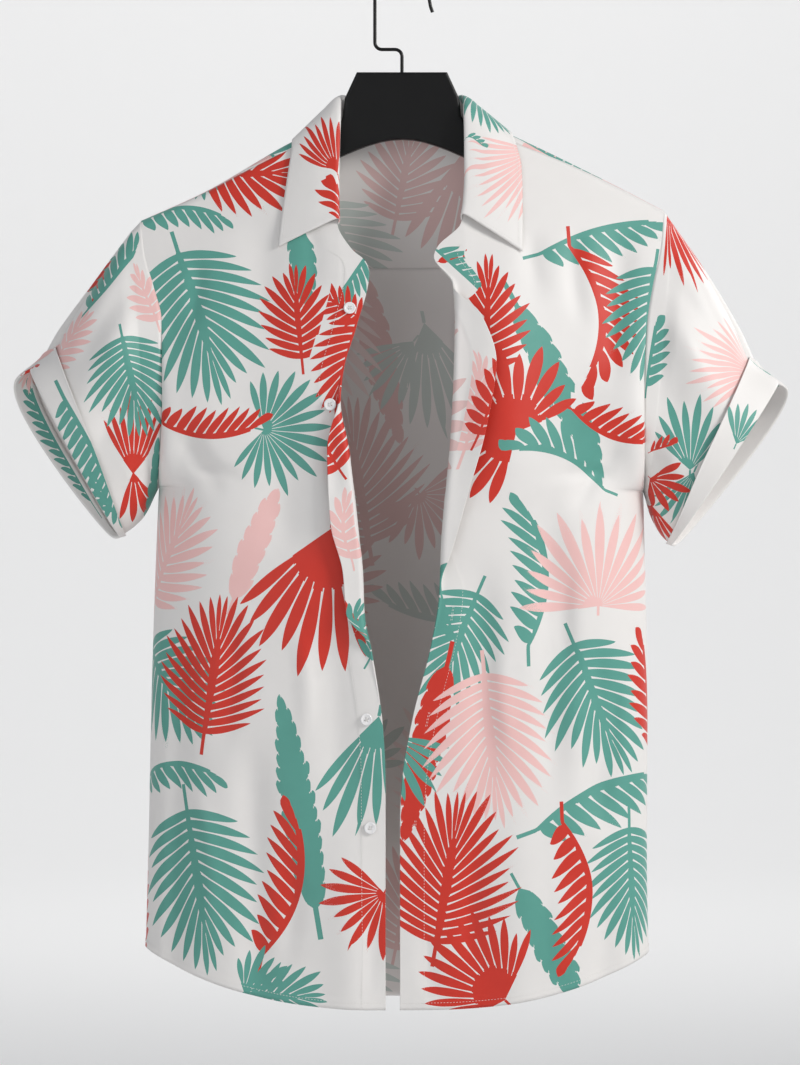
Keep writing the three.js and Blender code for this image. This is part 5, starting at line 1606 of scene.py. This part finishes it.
def hanger():
    left = hanger_half("left")
    right = [(-x, z) for x, z in hanger_half("right")][::-1]
    bm = bmesh.new()
    ring = [bm.verts.new((x * MM, -HANGER_THICKNESS / 2 * MM, z * MM)) for x, z in [*right, *left, (0, -154)]]
    face = bm.faces.new(ring)
    grown = bmesh.ops.extrude_face_region(bm, geom=[face])
    moved = [item for item in grown["geom"] if isinstance(item, bmesh.types.BMVert)]
    bmesh.ops.translate(bm, verts=moved, vec=Vector((0, HANGER_THICKNESS * MM, 0)))
    bmesh.ops.recalc_face_normals(bm, faces=bm.faces)
    rims = [edge for edge in bm.edges if len(edge.link_faces) == 2 and edge.calc_face_angle() > 0.9
            and abs(edge.verts[0].co.y - edge.verts[1].co.y) < 1e-6]
    bmesh.ops.bevel(bm, geom=rims, offset=2.6 * MM, offset_type="OFFSET", segments=4, profile=0.5,
                    affect="EDGES", material=-1, clamp_overlap=True)
    bmesh.ops.triangulate(bm, faces=[f for f in bm.faces if len(f.verts) > 4])
    return stand("moulded_hanger", mesh_from(bm, "moulded_hanger"))


def black_plastic(title, roughness, grain):
    material, shader, fine = grained(title, (4, 4, 4), (10, 10, 11), roughness, Scale=grain, Detail=4)
    tree = material.node_tree
    shader.inputs["Specular IOR Level"].default_value = 0.28
    calc = math_nodes(tree)
    tree.links.new(calc("ADD", calc("MULTIPLY", fine, 0.16), roughness - 0.08), shader.inputs["Roughness"])
    bump = tree.nodes.new("ShaderNodeBump")
    bump.inputs["Strength"].default_value = 0.12
    bump.inputs["Distance"].default_value = 0.0003
    tree.links.new(fine, bump.inputs["Height"])
    tree.links.new(bump.outputs["Normal"], shader.inputs["Normal"])
    return material


moulded = hanger()
moulded.data.materials.append(black_plastic("moulded_black", 0.42, 900))
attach(moulded, "root")
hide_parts("hanger")
print("hanger faces", len(moulded.data.polygons))

# %% [markdown]
# ## The hook
#
# The hook is one bent wire: up out of the block, a step to the side, up again and over the
# rod. A curve with a round bevel is the quickest way to bend wire. It is then made a mesh.

# %% Bend the hook
WIRE, HOOK_RADIUS, STEP_Z, CORNER = 3, 23.4, -76, 6


def hook_path():
    left, centre = -HOOK_RADIUS, WIRE / 2 - HOOK_RADIUS
    path = [(0, HANGER_TOP - 2), (0, STEP_Z - CORNER)]
    for k in range(1, 7):
        a = math.pi / 2 * k / 6
        path.append((-CORNER * (1 - math.cos(a)), STEP_Z - CORNER * (1 - math.sin(a))))
    path.append((left + CORNER, STEP_Z))
    for k in range(1, 7):
        a = math.pi / 2 * k / 6
        path.append((left + CORNER * (1 - math.sin(a)), STEP_Z + CORNER * (1 - math.cos(a))))
    for k in range(33):
        a = math.pi * (1 - k / 32)
        path.append((HOOK_RADIUS * math.cos(a), centre + HOOK_RADIUS * math.sin(a)))
    path += [(HOOK_RADIUS + 0.4, centre - 12), (HOOK_RADIUS + 1.3, centre - 17), (HOOK_RADIUS + 3, centre - 22)]
    return path


def bent_wire():
    line = bpy.data.curves.new("wire", "CURVE")
    line.dimensions = "3D"
    line.bevel_depth = WIRE / 2 * MM
    line.bevel_resolution = 5
    line.use_fill_caps = True
    spline = line.splines.new("POLY")
    path = hook_path()
    spline.points.add(len(path) - 1)
    for point, (x, z) in zip(spline.points, path):
        point.co = (x * MM, 0, z * MM, 1)
    source = stand("wire", line)
    mesh = finished_mesh(source)
    bpy.data.objects.remove(source)
    mesh.name = "wire_hook"
    mesh.materials.clear()
    return stand("wire_hook", mesh)


hook = bent_wire()
hook.data.shade_smooth()
hook.data.materials.append(black_plastic("coated_wire", 0.30, 1500))
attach(hook, "root")
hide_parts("hook")
print("hook faces", len(hook.data.polygons))
# %% [markdown]
# ## The cut of the cloth
#
# For each piece of cloth the size of the flat piece it is cut from is printed: its widest
# row, its longest column and its area, all measured on the grid. The shirt hangs on the
# hanger's arms, so the yoke and the fronts rest on it and the other pieces hang from those.

HANGS_FROM = {
    "yoke": [moulded],
    "front_right": [moulded, sewn["yoke"]],
    "front_left": [moulded, sewn["yoke"]],
    "back": [sewn["yoke"]],
    "sleeve_right": [sewn["yoke"], sewn["front_right"], sewn["back"]],
    "sleeve_left": [sewn["yoke"], sewn["front_left"], sewn["back"]],
    "cuff_right": [sewn["sleeve_right"]],
    "cuff_left": [sewn["sleeve_left"]],
    "collar": [sewn["yoke"], sewn["front_right"], sewn["front_left"]],
}


def cut_size(points):
    width = np.linalg.norm(np.diff(points, axis=1), axis=2).sum(axis=1).max()
    length = np.linalg.norm(np.diff(points, axis=0), axis=2).sum(axis=0).max()
    crossed = np.cross(points[1:, 1:] - points[:-1, :-1], points[1:, :-1] - points[:-1, 1:])
    return width * MM, length * MM, np.linalg.norm(crossed, axis=2).sum() / 2 * MM**2


for name, supports in HANGS_FROM.items():
    width, length, area = cut_size(grids[name])
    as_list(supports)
    print(f"{name}: {width:.3f} by {length:.3f} m, {area:.4f} m2")


# %% [markdown]
# ## Studio and light
#
# The shirt hangs in a round pale studio: a floor that curves up into a wall, spun from one
# line, so every side of the shirt is seen before the same plain ground. A key light from
# the upper right gives the folds their shading, as in the photograph, and a weak one fills
# the left. A third light falls on the back of the shirt and a fourth only on the wall.

# %% Studio and lights
STUDIO_RADIUS, FLOOR_LEVEL, WALL_TOP, COVE = 14, -1.75, 9, 2


def studio():
    bm = bmesh.new()
    inner = STUDIO_RADIUS - COVE
    line = [(0, FLOOR_LEVEL), (3, FLOOR_LEVEL), (inner, FLOOR_LEVEL)]
    line += [(inner + COVE * math.sin(a), FLOOR_LEVEL + COVE * (1 - math.cos(a)))
             for a in np.linspace(0.2, math.pi / 2, 8)]
    line += [(STUDIO_RADIUS, WALL_TOP)]
    corners = [bm.verts.new((r, 0, z)) for r, z in line]
    edges = [bm.edges.new(pair) for pair in zip(corners, corners[1:])]
    bmesh.ops.spin(bm, geom=corners + edges, cent=(0, 0, 0), axis=(0, 0, 1),
                   angle=2 * math.pi, steps=72, use_merge=True)
    bmesh.ops.remove_doubles(bm, verts=bm.verts, dist=1e-5)
    bmesh.ops.recalc_face_normals(bm, faces=bm.faces)
    bmesh.ops.reverse_faces(bm, faces=bm.faces[:])
    room = stand("studio", mesh_from(bm, "studio"))
    room.data.shade_smooth()
    return room


pale = bpy.data.materials.new("pale_studio")
pale.use_nodes = True
paint = pale.node_tree.nodes["Principled BSDF"]
paint.inputs["Base Color"].default_value = (0.80, 0.80, 0.80, 1)
paint.inputs["Roughness"].default_value = 0.95
paint.inputs["Emission Color"].default_value = (1.0, 0.99, 0.98, 1)
paint.inputs["Emission Strength"].default_value = 0.10
studio().data.materials.append(pale)


def area_light(name, place, aim, size, power, colour):
    data = bpy.data.lights.new(name, "AREA")
    data.shape = "RECTANGLE"
    data.size, data.size_y = size
    data.energy = power
    data.color = colour
    light = stand(name, data)
    light.location = place
    light.rotation_euler = (Vector(aim) - Vector(place)).to_track_quat("-Z", "Y").to_euler()
    return light


area_light("key", (2.1, -1.35, 0.75), (0, 0, -0.5), (0.8, 0.8), 47, (1.0, 0.985, 0.965))
area_light("fill", (-1.6, -2.6, -0.1), (0, 0, -0.5), (2.0, 2.0), 14, (0.95, 0.97, 1.0))
area_light("back_fill", (2.6, 2.6, 0.9), (0, 0, -0.5), (1.2, 1.2), 26, (1.0, 0.99, 0.98))
area_light("wall_light", (0, 8, 4.5), (0, 14, -0.6), (6, 2), 240, (1.0, 0.99, 0.975))
world = bpy.data.worlds.new("soft_room")
world.use_nodes = True
world.node_tree.nodes["Background"].inputs["Color"].default_value = (0.92, 0.95, 1.0, 1)
world.node_tree.nodes["Background"].inputs["Strength"].default_value = 0.38
bpy.context.scene.world = world
bpy.context.scene.view_settings.view_transform = "Standard"
